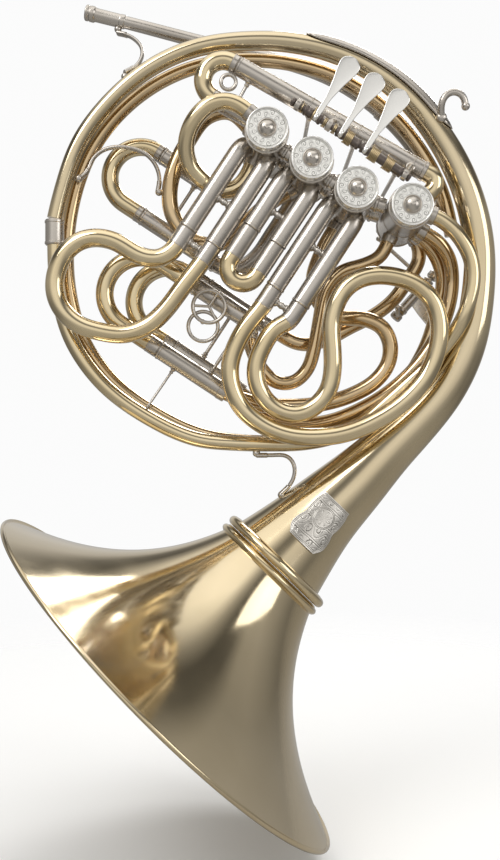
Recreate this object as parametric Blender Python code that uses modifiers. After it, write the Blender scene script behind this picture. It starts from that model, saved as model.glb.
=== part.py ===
"""Double french horn with four rotary valves, as separate pieces in metres.

The body of the horn lies in the XZ plane. The valve caps face -Y, the rotor linkage is on the +Y side,
and the bell opens down and to the left. Lengths below are in millimetres and are turned into metres by
place() and MM. Positions are laid out from the middle of the big loop's sheet and then shifted by ORIGIN,
so that the world origin is the centre of the box around the whole horn.
"""
import math

import bmesh
import bpy
import numpy as np
from mathutils import Matrix, Vector

MM = 0.001
ORIGIN = Vector((1.85, -9.43, 15.78))

# Bell: a flare that grows as a power of the distance to a point ahead of its ring.
BELL_RIM_RADIUS = 155.0
BELL_LENGTH = 107.0
BELL_FOCUS = 250.0
BELL_WALL = 1.0
RING_RADIUS = 39.6
RING_WIDTH = 4.9
RING_CENTRE = Vector((16.0, 0.0, -96.0))
BELL_ANGLE = math.radians(45.7)
BELL_LEAN = math.radians(5.0)
BELL_AXIS = Vector((-math.cos(BELL_ANGLE) * math.cos(BELL_LEAN), -math.sin(BELL_LEAN),
                    -math.sin(BELL_ANGLE) * math.cos(BELL_LEAN)))

# Valves: three in a row and a fourth, the change valve, a little above the row's line.
VALVE_TILT = math.radians(33.3)
VALVE_PITCH = 36.3
FIRST_VALVE = Vector((11.4, 0.0, 202.6))
ROW = Vector((math.cos(VALVE_TILT), 0.0, -math.sin(VALVE_TILT)))
DOWN = Vector((-math.sin(VALVE_TILT), 0.0, -math.cos(VALVE_TILT)))
VALVES = [(0.0, 0.0), (VALVE_PITCH, 0.0), (2 * VALVE_PITCH, 0.0), (2 * VALVE_PITCH + 37.1, -10.7)]
CASING_RADIUS = 15.0
CASING_WALL = 1.6
CASING_FRONT = -32.0
CASING_BACK = 30.0
CAP_RADIUS = 14.4
ROTOR_RADIUS = 12.6
SHAFT_RADIUS = 2.6
PLATE_BACK = 33.5
HUB_RADIUS = 5.5
HUB_TOP = 49.0

# Slides: an inner pair of legs with a bow runs in an outer pair of sleeves.
SLEEVE_RADIUS = 6.6
SLEEVE_BORE = 6.1
LEG_RADIUS = 5.5
BOW_RADIUS = 6.5
LEG_OFFSET = 10.5
FRONT_DEPTH = -20.0
LEG_TOP = 16.5
LEG_ENDS = [83.0, 58.7, 84.5]
LEG_OVERLAP = 34.0
NECK = 0.4
BRACE_RADIUS = 1.6

# Levers: three spatulas on one hinge rod that lies beside the valve row.
ROD_RADIUS = 2.0
ROD_SIDE = -24.4
ROD_DEPTH = -38.0
BARREL_RADIUS = 3.6
LEVER_STEMS = [23.8, 43.9, 63.5]
LEVER_ARMS = [18.15, 54.45, 88.5]
BAR_OFFSET = 9.0
BAR_DEPTH = 46.0
WIRE_RADIUS = 1.5
PADDLE_THICKNESS = 1.6
PADDLE_RAISE = 3.4

GAP = 0.3
JOINT = 1.2


# ---------------------------------------------------------------- places and paths

def place(x, y, z):
    """World position of a layout point given in millimetres."""
    return (Vector((x, y, z)) - ORIGIN) * MM


def at(row, down, depth, valve=0):
    """World position from a valve's centre: along the row, along the slides, and in depth."""
    start_row, start_down = VALVES[valve]
    point = FIRST_VALVE + ROW * (start_row + row) + DOWN * (start_down + down)
    return place(point.x, depth, point.z)


def layout(points, depth):
    """World points from (x, z) pairs at one depth, or (x, z, depth) triples."""
    return [place(p[0], p[2] if len(p) > 2 else depth, p[1]) for p in points]


def smooth(points, start=None, end=None, turn=math.radians(20), longest=0.06):
    """Points along a smooth curve through the given points, closer together where it bends.

    The curve is a cubic between neighbours, with each inner tangent along the chord-weighted mean of
    the two chords. start and end are directions that replace the tangents of the two end points.
    """
    knots = np.array([tuple(p) for p in points])
    chords = np.diff(knots, axis=0)
    lengths = np.linalg.norm(chords, axis=1)
    slopes = chords / lengths[:, None]
    tangents = np.empty_like(knots)
    weights = lengths[:-1] / (lengths[:-1] + lengths[1:])
    tangents[1:-1] = slopes[:-1] * (1 - weights)[:, None] + slopes[1:] * weights[:, None]
    tangents[0] = slopes[0] if start is None else tuple(start)
    tangents[-1] = slopes[-1] if end is None else tuple(end)
    t = np.linspace(0, 1, 24, endpoint=False)[:, None]
    dense = [(2 * t**3 - 3 * t**2 + 1) * knots[i] + (t**3 - 2 * t**2 + t) * tangents[i] * lengths[i]
             + (3 * t**2 - 2 * t**3) * knots[i + 1] + (t**3 - t**2) * tangents[i + 1] * lengths[i]
             for i in range(len(lengths))]
    dense = np.vstack(dense + [knots[-1:]])
    kept = [0]
    steps = np.diff(dense, axis=0)
    directions = steps / np.linalg.norm(steps, axis=1)[:, None]
    for i in range(1, len(dense) - 1):
        turned_by = math.acos(min(1.0, float(directions[kept[-1]] @ directions[i])))
        if turned_by > turn or np.linalg.norm(dense[i] - dense[kept[-1]]) > longest:
            kept.append(i)
    return [Vector(dense[i]) for i in kept] + [Vector(dense[-1])]


def arc(centre, first, second, start, stop, steps):
    """Points on a circle arc; first and second are its two radius vectors, the angles in degrees."""
    angles = [math.radians(start + (stop - start) * i / steps) for i in range(steps + 1)]
    return [centre + first * math.cos(a) + second * math.sin(a) for a in angles]


# ---------------------------------------------------------------- scene, materials, solids

def clear_scene():
    for thing in list(bpy.data.objects):
        bpy.data.objects.remove(thing, do_unlink=True)


def collection(name):
    group = bpy.data.collections.new(name)
    bpy.context.scene.collection.children.link(group)
    return group


FINISHES = {
    "brass": ((0.72, 0.56, 0.30), 0.18),
    "nickel": ((0.66, 0.62, 0.56), 0.22),
    "satin": ((0.76, 0.74, 0.70), 0.38),
    "dark": ((0.30, 0.26, 0.22), 0.35),
}


def finish(thing, name):
    """Give an object its own metal material."""
    colour, roughness = FINISHES[name]
    material = bpy.data.materials.new(thing.name + "_" + name)
    material.use_nodes = True
    shader = material.node_tree.nodes["Principled BSDF"]
    shader.inputs["Base Color"].default_value = (*colour, 1.0)
    shader.inputs["Metallic"].default_value = 1.0
    shader.inputs["Roughness"].default_value = roughness
    thing.data.materials.clear()
    thing.data.materials.append(material)
    return thing


def add(name, data, group=None):
    thing = bpy.data.objects.new(name, data)
    (group or PARTS).objects.link(thing)
    return thing


def as_mesh(thing):
    """Turn a curve or modified object into a plain closed mesh object of the same name."""
    bpy.context.view_layer.update()
    name = thing.name
    mesh = bpy.data.meshes.new_from_object(thing.evaluated_get(bpy.context.evaluated_depsgraph_get()))
    frame = thing.matrix_world.copy()
    bpy.data.objects.remove(thing, do_unlink=True)
    shape = bmesh.new()
    shape.from_mesh(mesh)
    bmesh.ops.remove_doubles(shape, verts=shape.verts, dist=0.000002)
    shape.to_mesh(mesh)
    shape.free()
    solid = add(name, mesh)
    solid.matrix_world = frame
    mesh.shade_smooth()
    mesh.set_sharp_from_angle(angle=math.radians(40))
    return solid


def tube(name, points, radius, radii=None, sides=2, caps=True):
    """A round bar along points; radii scale the radius point by point."""
    curve = bpy.data.curves.new(name, "CURVE")
    curve.dimensions = "3D"
    curve.bevel_depth = radius * MM
    curve.bevel_resolution = sides
    curve.use_fill_caps = caps
    spline = curve.splines.new("POLY")
    spline.points.add(len(points) - 1)
    for i, point in enumerate(points):
        spline.points[i].co = (*point, 1.0)
        spline.points[i].radius = 1.0 if radii is None else radii[i]
    return add(name, curve)


def turned(name, profile, where, axis, sides=24, closed=False):
    """A turned solid. The profile lists (radius, height) down the outer side, heights along axis."""
    mesh = bpy.data.meshes.new(name)
    shape = bmesh.new()
    points = [shape.verts.new((r * MM, 0.0, h * MM)) for r, h in profile]
    for first, second in zip(points, points[1:] + points[:1] if closed else points[1:]):
        shape.edges.new((first, second))
    shape.to_mesh(mesh)
    shape.free()
    thing = add(name, mesh)
    screw = thing.modifiers.new("turn", "SCREW")
    screw.steps = screw.render_steps = sides
    screw.use_merge_vertices = True
    screw.merge_threshold = 0.00001
    screw.use_smooth_shade = True
    turn = Vector((0, 0, 1)).rotation_difference(axis).to_matrix().to_4x4()
    thing.matrix_world = Matrix.Translation(where) @ turn
    return thing


def sleeve(name, start, stop, outer, bore, sides=12):
    """A hollow straight tube between two points."""
    length = (stop - start).length / MM
    profile = [(outer, length), (outer, 0.0), (bore, 0.0), (bore, length)]
    return turned(name, profile, start, (stop - start).normalized(), sides, closed=True)


def plate(name, outline, thickness, frame):
    """A flat plate from a 2D outline in millimetres, centred on the frame's XY plane."""
    curve = bpy.data.curves.new(name, "CURVE")
    curve.dimensions = "2D"
    curve.fill_mode = "BOTH"
    curve.extrude = thickness * MM / 2
    spline = curve.splines.new("POLY")
    spline.points.add(len(outline) - 1)
    for i, (x, y) in enumerate(outline):
        spline.points[i].co = (x * MM, y * MM, 0.0, 1.0)
    spline.use_cyclic_u = True
    thing = add(name, curve)
    thing.matrix_world = frame
    return thing


def axes(where, x_axis, y_axis):
    """A frame at a point from two perpendicular directions."""
    x_axis, y_axis = x_axis.normalized(), y_axis.normalized()
    return Matrix.Translation(where) @ Matrix((x_axis, y_axis, x_axis.cross(y_axis))).transposed().to_4x4()


def combine(base, others, operation="UNION"):
    """Join other solids into base, or cut them out of it."""
    base = as_mesh(base)
    for other in others:
        cutter = as_mesh(other)
        CUTTERS.objects.link(cutter)
        PARTS.objects.unlink(cutter)
        cutter.hide_render = True
        cutter.display_type = "WIRE"
        step = base.modifiers.new(cutter.name, "BOOLEAN")
        step.operation = operation
        step.object = cutter
        step.solver = "EXACT"
    return base


# ---------------------------------------------------------------- bell

def bell_radius(distance):
    """Radius of the flare at a distance past its ring."""
    power = math.log(BELL_RIM_RADIUS / RING_RADIUS) / math.log(BELL_FOCUS / (BELL_FOCUS - BELL_LENGTH))
    return RING_RADIUS * (BELL_FOCUS / (BELL_FOCUS - distance)) ** power


def make_bell():
    stations = [BELL_LENGTH * (1 - (1 - i / 8) ** 1.5) for i in range(9)]
    outer = [(bell_radius(s), s) for s in stations]
    inner = [(bell_radius(s) - BELL_WALL * 1.25, s) for s in stations[:-1]]
    rim = [(BELL_RIM_RADIUS + 0.6, BELL_LENGTH + 1.2), (BELL_RIM_RADIUS - 1.6, BELL_LENGTH + 0.6)]
    profile = inner + rim[::-1] + outer[::-1]
    flare = turned("bell_flare", profile, place(*RING_CENTRE), BELL_AXIS, 32, closed=True)
    finish(flare, "brass")
    fits = (("bell_ring", GAP, RING_WIDTH, bell_radius(RING_WIDTH) + 0.4),
            ("tail_ring", -RING_WIDTH, -GAP, RING_RADIUS + 0.2))
    for name, low, high, inside in fits:
        crown, middle = RING_RADIUS + 4.2, (low + high) / 2
        profile = [(inside + 0.8, high), (crown, middle + 1.2), (crown, middle - 1.2), (inside + 0.8, low),
                   (inside, low), (inside, high)]
        finish(turned(name, profile, place(*RING_CENTRE), BELL_AXIS, 32, closed=True), "brass")


TAIL = [  # x, z, radius along the bell tail, from the ferrule on the left to the ring
    (-138.6, 151.5, 5.5), (-134, 171, 5.5), (-122, 205, 5.6), (-98, 236, 5.8), (-71, 258, 6.0),
    (-36, 273, 6.2), (-4, 277, 6.5), (36, 275, 7.0), (71, 265, 7.7), (105, 244, 8.7), (133, 212, 9.6),
    (154, 172, 10.3), (163, 134, 10.7), (162, 93, 11.5), (154, 57, 12.8), (139, 28, 14.2),
    (118, 4, 16.4), (97, -16, 19.0), (77, -36, 23.0)]
TAIL_LEAN = {139: 2.0, 118: 4.2, 97: 5.8, 77: 6.4}
THROAT = [(47.0, 28.0), (24.0, 33.0), (9.0, 36.8), (0.6, RING_RADIUS - 0.7)]  # distance before the ring, radius


def make_bell_tail():
    knots = layout([(x, z, TAIL_LEAN.get(x, 0.0)) for x, z, r in TAIL], 0.0)
    knots += [place(*(RING_CENTRE - BELL_AXIS * distance)) for distance, r in THROAT]
    points = smooth(knots, end=BELL_AXIS, turn=math.radians(16), longest=0.04)
    reach = np.cumsum([0.0] + [(b - a).length for a, b in zip(knots, knots[1:])])
    run = np.cumsum([0.0] + [(b - a).length for a, b in zip(points, points[1:])])
    radii = np.interp(run * reach[-1] / run[-1], reach, [r for x, z, r in TAIL] + [r for distance, r in THROAT])
    tail = as_mesh(tube("bell_tail", points, 1.0, list(radii), sides=3, caps=False))
    skin = tail.modifiers.new("wall", "SOLIDIFY")
    skin.thickness = BELL_WALL * MM
    skin.offset = -1
    finish(tail, "brass")


def wrap(name, points, radii, first, last, thickness, cells=7):
    """A thin plate bent around a round tube, between two angles measured from its outer side to the front."""
    front = Vector((0, -1, 0))
    mesh = bpy.data.meshes.new(name)
    shape = bmesh.new()
    rows = []
    for i, point in enumerate(points):
        ahead = (points[min(i + 1, len(points) - 1)] - points[max(i - 1, 0)]).normalized()
        outward = front.cross(ahead).normalized()
        sweep = [math.radians(first + (last - first) * j / cells) for j in range(cells + 1)]
        rows.append([shape.verts.new(point + (outward * math.cos(a) + front * math.sin(a)) * radii[i] * MM)
                     for a in sweep])
    for row, following in zip(rows, rows[1:]):
        for j in range(cells):
            shape.faces.new((row[j], row[j + 1], following[j + 1], following[j]))
    bmesh.ops.recalc_face_normals(shape, faces=shape.faces)
    shape.to_mesh(mesh)
    shape.free()
    sheet = add(name, mesh)
    wall = sheet.modifiers.new("wall", "SOLIDIFY")
    wall.thickness = thickness * MM
    wall.offset = 0
    return sheet


def make_nameplate():
    """A small engraved shield, soldered on the front of the throat."""
    stations = [(60.0, 26.0), (50.0, 27.6), (40.0, 29.4), (30.0, 31.7)]
    points = [place(*(RING_CENTRE - BELL_AXIS * distance)) for distance, r in stations]
    shield = wrap("nameplate", points, [r + 1.9 for distance, r in stations], 65, 115, 0.7)
    finish(shield, "nickel")


# ---------------------------------------------------------------- valves

def make_valve(index):
    name = str(index + 1)
    back = Vector((0, 1, 0))
    casing = turned("valve_casing_" + name,
                    [(CASING_RADIUS, CASING_BACK), (CASING_RADIUS, CASING_FRONT),
                     (CASING_RADIUS - CASING_WALL, CASING_FRONT), (CASING_RADIUS - CASING_WALL, CASING_BACK)],
                    at(0, 0, 0, index), back, 20, closed=True)
    if index < 3:
        row, down = VALVES[index + 1]
        step = Vector((row - VALVES[index][0], down - VALVES[index][1]))
        reach = step.length - CASING_RADIUS - GAP
        step.normalize()
        stubs = []
        for depth in (-13.0, 14.0):
            start = at(step.x * (CASING_RADIUS - 1), step.y * (CASING_RADIUS - 1), depth, index)
            stop = at(step.x * (reach - 0.55), step.y * (reach - 0.55), depth, index)
            stubs.append(tube("knuckle_%s_%d" % (name, depth), [start, stop], 5.6))
        casing = combine(casing, stubs)
    finish(casing, "nickel")

    cap = [(0.0, -43.0), (4.4, -41.8), (7.0, -39.0), (CAP_RADIUS, -39.0), (CAP_RADIUS, CASING_FRONT - GAP),
           (0.0, CASING_FRONT - GAP)]
    finish(turned("valve_cap_" + name, cap[::-1], at(0, 0, 0, index), back, 20), "satin")

    rotor = [(0.0, HUB_TOP - 1), (SHAFT_RADIUS, HUB_TOP - 1), (SHAFT_RADIUS, CASING_BACK - 3),
             (ROTOR_RADIUS, CASING_BACK - 3), (ROTOR_RADIUS, CASING_FRONT + 4), (0.0, CASING_FRONT + 4)]
    solid = turned("rotor_" + name, rotor, at(0, 0, 0, index), back, 16)
    notches = []
    for side in (-1, 1):
        ends = [at(side * 11.5, reach, -13.0, index) for reach in (-16, 16)]
        notches.append(tube("passage_%s_%d" % (name, side), ends, 5.0))
    finish(combine(solid, notches, "DIFFERENCE"), "brass")

    washer = [(CASING_RADIUS - 0.6, PLATE_BACK), (CASING_RADIUS - 0.6, CASING_BACK + GAP),
              (SHAFT_RADIUS + 0.4, CASING_BACK + GAP), (SHAFT_RADIUS + 0.4, PLATE_BACK)]
    finish(turned("bearing_plate_" + name, washer, at(0, 0, 0, index), back, 16, closed=True), "nickel")

    hub = [(HUB_RADIUS, HUB_TOP), (HUB_RADIUS, PLATE_BACK + 1), (SHAFT_RADIUS + GAP, PLATE_BACK + 1),
           (SHAFT_RADIUS + GAP, HUB_TOP)]
    collar = turned("stop_arm_" + name, hub, at(0, 0, 0, index), back, 12, closed=True)
    finger = [(-14, -1.4), (-4.2, -2.4), (-4.2, 2.4), (-14, 1.4)]
    blade = plate("stop_finger_" + name, finger, 2.4, axes(at(0, 0, PLATE_BACK + 2.6, index), ROW, DOWN))
    finish(combine(collar, [blade]), "nickel")


# ---------------------------------------------------------------- slides

def sleeve_pair(name, feet, along, length, braces=(), sides=12):
    """Two parallel sleeves with round cross braces between them, as one solid."""
    pieces = [sleeve(name + "_%d" % i, foot, foot + along * length * MM, SLEEVE_RADIUS, SLEEVE_BORE, sides)
              for i, foot in enumerate(feet)]
    toward = (feet[1] - feet[0]).normalized()
    inset = toward * (SLEEVE_RADIUS * math.cos(math.pi / sides) - 0.25) * MM
    posts = [tube(name + "_brace_%d" % i, [feet[0] + along * d * MM + inset, feet[1] + along * d * MM - inset],
                  BRACE_RADIUS)
             for i, d in enumerate(braces)]
    pair = combine(pieces[0], posts + [pieces[1]])
    pair.name = name
    return finish(pair, "nickel")


def slide(name, tops, along, exit_reach, bow, extras=()):
    """A moving slide: two bars inside the sleeves and a bow that joins them."""
    exits = [top + along * exit_reach * MM for top in tops]
    bend = smooth([exits[0]] + bow + [exits[1]], start=along, end=-along)
    narrow = LEG_RADIUS / BOW_RADIUS
    shoulder = along * NECK * MM
    points = [tops[0], exits[0] - shoulder] + bend + [exits[1] - shoulder, tops[1]]
    radii = [narrow, narrow] + [1.0] * len(bend) + [narrow, narrow]
    solid = tube(name, points, BOW_RADIUS, radii)
    return finish(combine(solid, list(extras)) if extras else solid, "brass")


FIRST_BOW = [(-55, 122), (-63, 118), (-73, 119), (-95, 131), (-107, 133), (-119, 130), (-128, 122),
             (-134, 109), (-135, 95), (-130, 83), (-119, 73), (-104, 68), (-86, 66), (-70, 72), (-59, 82),
             (-47, 98)]
THIRD_BOW = [(-3, 71), (-10, 58), (-14, 45), (-13, 31), (-7, 17), (6, 5), (24, -3), (45, -5), (67, -2),
             (88, 7), (107, 20), (121, 36), (129, 54), (131, 72), (127, 88), (117, 99), (104, 105),
             (91, 107), (77, 105), (66, 98), (59, 86), (56, 72), (57, 55), (57, 40), (54, 27), (46, 17),
             (35, 11), (23, 12), (12, 19), (5, 31), (4, 45), (9, 58), (18, 71)]


def make_front_slides():
    bows = [layout(FIRST_BOW, FRONT_DEPTH), None, layout(THIRD_BOW, FRONT_DEPTH)]
    centre = at(0, LEG_ENDS[1] + 26, FRONT_DEPTH, 1)
    bows[1] = arc(centre, -ROW * LEG_OFFSET * MM, DOWN * LEG_OFFSET * MM, 15, 165, 6)
    exits = [LEG_ENDS[0] + 9, LEG_ENDS[1] + 24, LEG_ENDS[2] + 13]
    braces = [37.5, 24.5, 30.0]
    for index in range(3):
        feet = [at(side * LEG_OFFSET, LEG_TOP, FRONT_DEPTH, index) for side in (-1, 1)]
        name = "slide_%d" % (index + 1)
        sleeve_pair(name + "_sleeves", feet, DOWN, LEG_ENDS[index] - LEG_TOP, [braces[index]])
        tops = [at(side * LEG_OFFSET, LEG_ENDS[index] - LEG_OVERLAP, FRONT_DEPTH, index) for side in (-1, 1)]
        neck = [at(side * LEG_OFFSET, LEG_ENDS[index] + NECK, FRONT_DEPTH, index) for side in (-1, 1)]
        reach = (neck[0] - tops[0]).length / MM
        stretch = [neck[0] + DOWN * (exits[index] - LEG_ENDS[index]) * MM,
                   neck[1] + DOWN * (exits[index] - LEG_ENDS[index]) * MM]
        bow = [stretch[0]] + bows[index] + [stretch[1]]
        spread = LEG_OFFSET - LEG_RADIUS + 0.8
        bar = [at(side * spread, LEG_ENDS[index] + 7.5, FRONT_DEPTH, index) for side in (-1, 1)]
        slide(name, tops, DOWN, reach, bow, [tube(name + "_bar", bar, BRACE_RADIUS)] if index != 1 else [])


# Back slides pull out to the left, along the valve row. lines are the distances of the two legs across
# the row from the layout's origin; bow_at, mouths and ends are places along the row.
BACK_SLIDES = {
    "side_slide": dict(lines=(134.0, 88.5), depth=24.2, bow_at=-169.5, mouths=(-165, -153), ends=(-126, -90),
                       braces=(32,), feeds=([(-112, 136), (-104.5, 146)], [(-73, 93), (-66.5, 106), (-65.4, 130)]),
                       valves=((0, 0.0), (1, 0.0))),
    "lower_front_slide": dict(lines=(65.0, 12.5), depth=6.0, bow_at=-119.0, mouths=(-90, -86), ends=(-34, -34),
                              braces=(44,), feeds=(None, None), valves=(None, None)),
    "lower_back_slide": dict(lines=(71.0, 20.0), depth=22.0, bow_at=-101.5, mouths=(-84, -80), ends=(-26, -26),
                             braces=(26,), feeds=(None, None), valves=(None, None)),
}
BACK_PULL_TOP = 26.0
FEED_RADIUS = 5.7


def across(along_row, line, depth):
    """World position from a distance along the row and a distance across it, from the layout's origin."""
    point = ROW * along_row - DOWN * line
    return place(point.x, depth, point.z)


def wire_ring(name, middle, radius):
    """A finger ring of round wire that lies parallel to the horn's sheet."""
    ring = tube(name, arc(middle, ROW * radius * MM, DOWN * radius * MM, 0, 360, 12)[:-1], 1.3, sides=1)
    ring.data.splines[0].use_cyclic_u = True
    return ring


def make_back_slide(name, lines, depth, bow_at, mouths, ends, braces, feeds, valves):
    pieces = []
    for i, (line, mouth, end) in enumerate(zip(lines, mouths, ends)):
        pieces.append(sleeve("%s_sleeve_%d" % (name, i), across(mouth, line, depth), across(end, line, depth),
                             SLEEVE_RADIUS, SLEEVE_BORE))
    inset = SLEEVE_RADIUS - 0.4
    posts = [tube("%s_brace_%d" % (name, i), [across(mouths[0] + reach, lines[0] - inset, depth),
                                              across(mouths[0] + reach, lines[1] + inset, depth)], 1.5)
             for i, reach in enumerate(braces)]
    for i, (feed, valve) in enumerate(zip(feeds, valves)):
        if feed is None:
            continue
        foot = at(valve[1], CASING_RADIUS + JOINT, 21.0, valve[0])
        knots = [across(ends[i] + 1, lines[i], depth)] + [across(a, n, depth) for a, n in feed] + [foot]
        posts.append(tube("%s_feed_%d" % (name, i), [across(ends[i] - 3, lines[i], depth)]
                          + smooth(knots, start=ROW, end=-DOWN, turn=math.radians(22)), FEED_RADIUS + 0.6))
    sleeves = combine(pieces[0], posts + [pieces[1]])
    sleeves.name = name + "_sleeves"
    finish(sleeves, "nickel")

    radius = (lines[0] - lines[1]) / 2
    middle = across(bow_at, (lines[0] + lines[1]) / 2, depth)
    bow = arc(middle, -DOWN * radius * MM, -ROW * radius * MM, 0, 180, 11)
    narrow = LEG_RADIUS / BOW_RADIUS
    necks = [across(mouth - NECK, line, depth) for mouth, line in zip(mouths, lines)]
    tops = [across(mouth + BACK_PULL_TOP, line, depth) for mouth, line in zip(mouths, lines)]
    shoulder = ROW * NECK * MM
    points = [tops[0], necks[0] + shoulder, necks[0]] + bow + [necks[1], necks[1] + shoulder, tops[1]]
    radii = [narrow] * 2 + [1.0] * (len(bow) + 2) + [narrow] * 2
    solid = tube(name, points, BOW_RADIUS, radii)
    if name == "lower_front_slide":
        rings = [wire_ring("ring_upper", across(-72, 57, -6.0), 11.5),
                 wire_ring("ring_lower", across(-68, 43, -4.0), 10.5)]
        stems = [tube("ring_link", [across(-70, 45.7, -6.6), across(-70, 45.3, -3.2)], 1.6),
                 tube("ring_stem", [across(-83, 58, -6.0), across(-90, 61, -4.0), across(-95, 64.5, 3.0)], 1.5)]
        solid = combine(solid, rings + stems)
    finish(solid, "brass")


TUNING_ANGLE = math.radians(29.6)
TUNING = Vector((math.cos(TUNING_ANGLE), 0.0, -math.sin(TUNING_ANGLE)))
TUNING_SIDE = Vector((-math.sin(TUNING_ANGLE), 0.0, -math.cos(TUNING_ANGLE)))
TUNING_MOUTH = Vector((-8.4, -13.1, 254.0))
TUNING_GAP = 28.0
TUNING_LENGTHS = (150.0, 27.0)


def make_tuning_slide():
    """The main tuning slide above the valves, with the elbow that brings its long leg into valve 4."""
    mouths = [place(*TUNING_MOUTH), place(*(TUNING_MOUTH + TUNING_SIDE * TUNING_GAP))]
    pieces = [sleeve("tuning_leg_%d" % i, mouth, mouth + TUNING * length * MM, SLEEVE_RADIUS, SLEEVE_BORE)
              for i, (mouth, length) in enumerate(zip(mouths, TUNING_LENGTHS))]
    brace = [mouths[0] + TUNING * 12 * MM + TUNING_SIDE * (SLEEVE_RADIUS - 0.4) * MM,
             mouths[1] + TUNING * 12 * MM - TUNING_SIDE * (SLEEVE_RADIUS - 0.4) * MM]
    inward = Vector((0.72, 0.0, 0.69))
    last = Vector((at(0, 0, -13.1, 3)) + inward * (CASING_RADIUS + JOINT) * MM)
    corner = layout([(129.5, 175.0), (128.5, 168.0)], -13.1)
    start = mouths[0] + TUNING * (TUNING_LENGTHS[0] - 1) * MM
    elbow = [start - TUNING * 3 * MM] + smooth([start] + corner + [last], start=TUNING, end=-inward)
    sleeves = combine(pieces[0], [tube("tuning_brace", brace, 1.5), tube("tuning_elbow", elbow, 6.3), pieces[1]])
    sleeves.name = "tuning_slide_sleeves"
    finish(sleeves, "nickel")

    radius = TUNING_GAP / 2
    middle = (mouths[0] + mouths[1]) / 2 - TUNING * 4 * MM
    bow = arc(middle, -TUNING_SIDE * radius * MM, -TUNING * radius * MM, 0, 180, 10)
    shoulder = TUNING * NECK * MM
    necks = [mouth - shoulder for mouth in mouths]
    tops = [mouths[0] + TUNING * 34 * MM, mouths[1] + TUNING * 25 * MM]
    narrow = LEG_RADIUS / BOW_RADIUS
    points = [tops[0], necks[0] + shoulder, necks[0]] + bow + [necks[1], necks[1] + shoulder, tops[1]]
    radii = [narrow] * 2 + [1.0] * (len(bow) + 2) + [narrow] * 2
    finish(tube("tuning_slide", points, BOW_RADIUS, radii), "brass")


# ---------------------------------------------------------------- fixed tubing

def make_leadpipe():
    mouth = place(-121.0, 24.0, 308.0)
    along = Vector((math.cos(math.radians(14)), 0.0, -math.sin(math.radians(14))))
    receiver = [(4.9, 30.0), (4.9, 7.0), (5.7, 7.0), (5.7, 0.0), (4.4, 0.0), (4.1, 22.0), (3.0, 30.0)]
    finish(turned("mouthpiece_receiver", receiver, mouth, along, 16, closed=True), "nickel")
    start = mouth + along * 30.3 * MM
    route = [(-52, 290.5), (-33, 285.5), (-14, 280), (22, 272.5), (58, 260), (98, 233), (124, 203), (137, 178),
             (140, 165)]
    last = at(0, 0, 24.0, 3) + Vector((0.95, 0.0, 0.31)) * (CASING_RADIUS + JOINT) * MM
    points = smooth([start] + layout(route, 24.5) + [last], start=along, end=Vector((-0.95, 0.0, -0.31)))
    radii = [3.9 + 1.1 * min(1.0, i / 8) for i in range(len(points))]
    finish(tube("leadpipe", points, 1.0, radii), "nickel")


def make_branches():
    """Long brass tubes that leave valve 4 and circle the horn."""
    def leave(x, z, depth):
        side = Vector((x, 0.0, z)).normalized()
        return at(0, 0, depth, 3) + side * (CASING_RADIUS + JOINT) * MM, side

    start, side = leave(0.99, -0.1, -17.0)
    route = [(139, 141, -17), (148, 130, -17), (153, 120, -17), (155, 107, -17), (153, 93, -17), (149, 80, -17),
             (141, 65, -11.5), (128, 48, -5.5), (110, 31, -4), (95, 17.5, -2), (80, 5), (62, -4), (40, -9),
             (14, -10), (-10, -9.5), (-36, -7), (-73, 9), (-108, 36), (-127, 64), (-137, 100), (-139, 136)]
    points = smooth([start] + layout(route, 0.0), start=side, end=Vector((0, 0, 1)))
    ferrule = turned("branch_ferrule", [(0.0, 16.0), (6.9, 16.0), (6.9, 0.0), (0.0, 0.0)],
                     place(-139.0, 0.0, 133.5), Vector((0, 0, 1)), 12)
    finish(combine(tube("outer_branch", points, 5.4), [ferrule]), "brass")

    start, side = leave(0.8, -0.6, 1.0)
    route = [(135, 134, 3), (144, 122, 8), (146.5, 109, 12), (145, 94, 12), (141, 80, 12), (132, 62, 12),
             (118, 43, 12), (100, 27, 12), (80, 15, 12), (56, 6, 14), (32, 4.5, 17), (13, 9.5, 20), (1, 20, 22)]
    stop = across(-25.4, 20.0, 22.0)
    points = smooth([start] + layout(route, 0.0) + [stop], start=side, end=-ROW)
    finish(tube("inner_branch", points, 5.2), "brass")

    start, side = leave(0.76, -0.65, 12.6)
    route = [(131, 133, 15), (139, 121, 20), (142, 106, 23.5), (139, 92, 25), (130, 62, 26), (112, 32, 26),
             (85, 5, 22), (50, -8, 15.5), (15, -9, 12.6), (-36, -3), (-73, 15), (-103, 39), (-121, 66), (-131, 102),
             (-131.5, 145), (-127, 170), (-116, 200), (-94, 230), (-68, 250.5), (-36, 264), (-4, 268), (32, 265),
             (64, 255), (96, 234), (122, 205), (140, 170), (147, 141)]
    points = smooth([start] + layout(route, 12.0), start=side)
    finish(tube("back_branch", points, 5.0), "brass")


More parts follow.
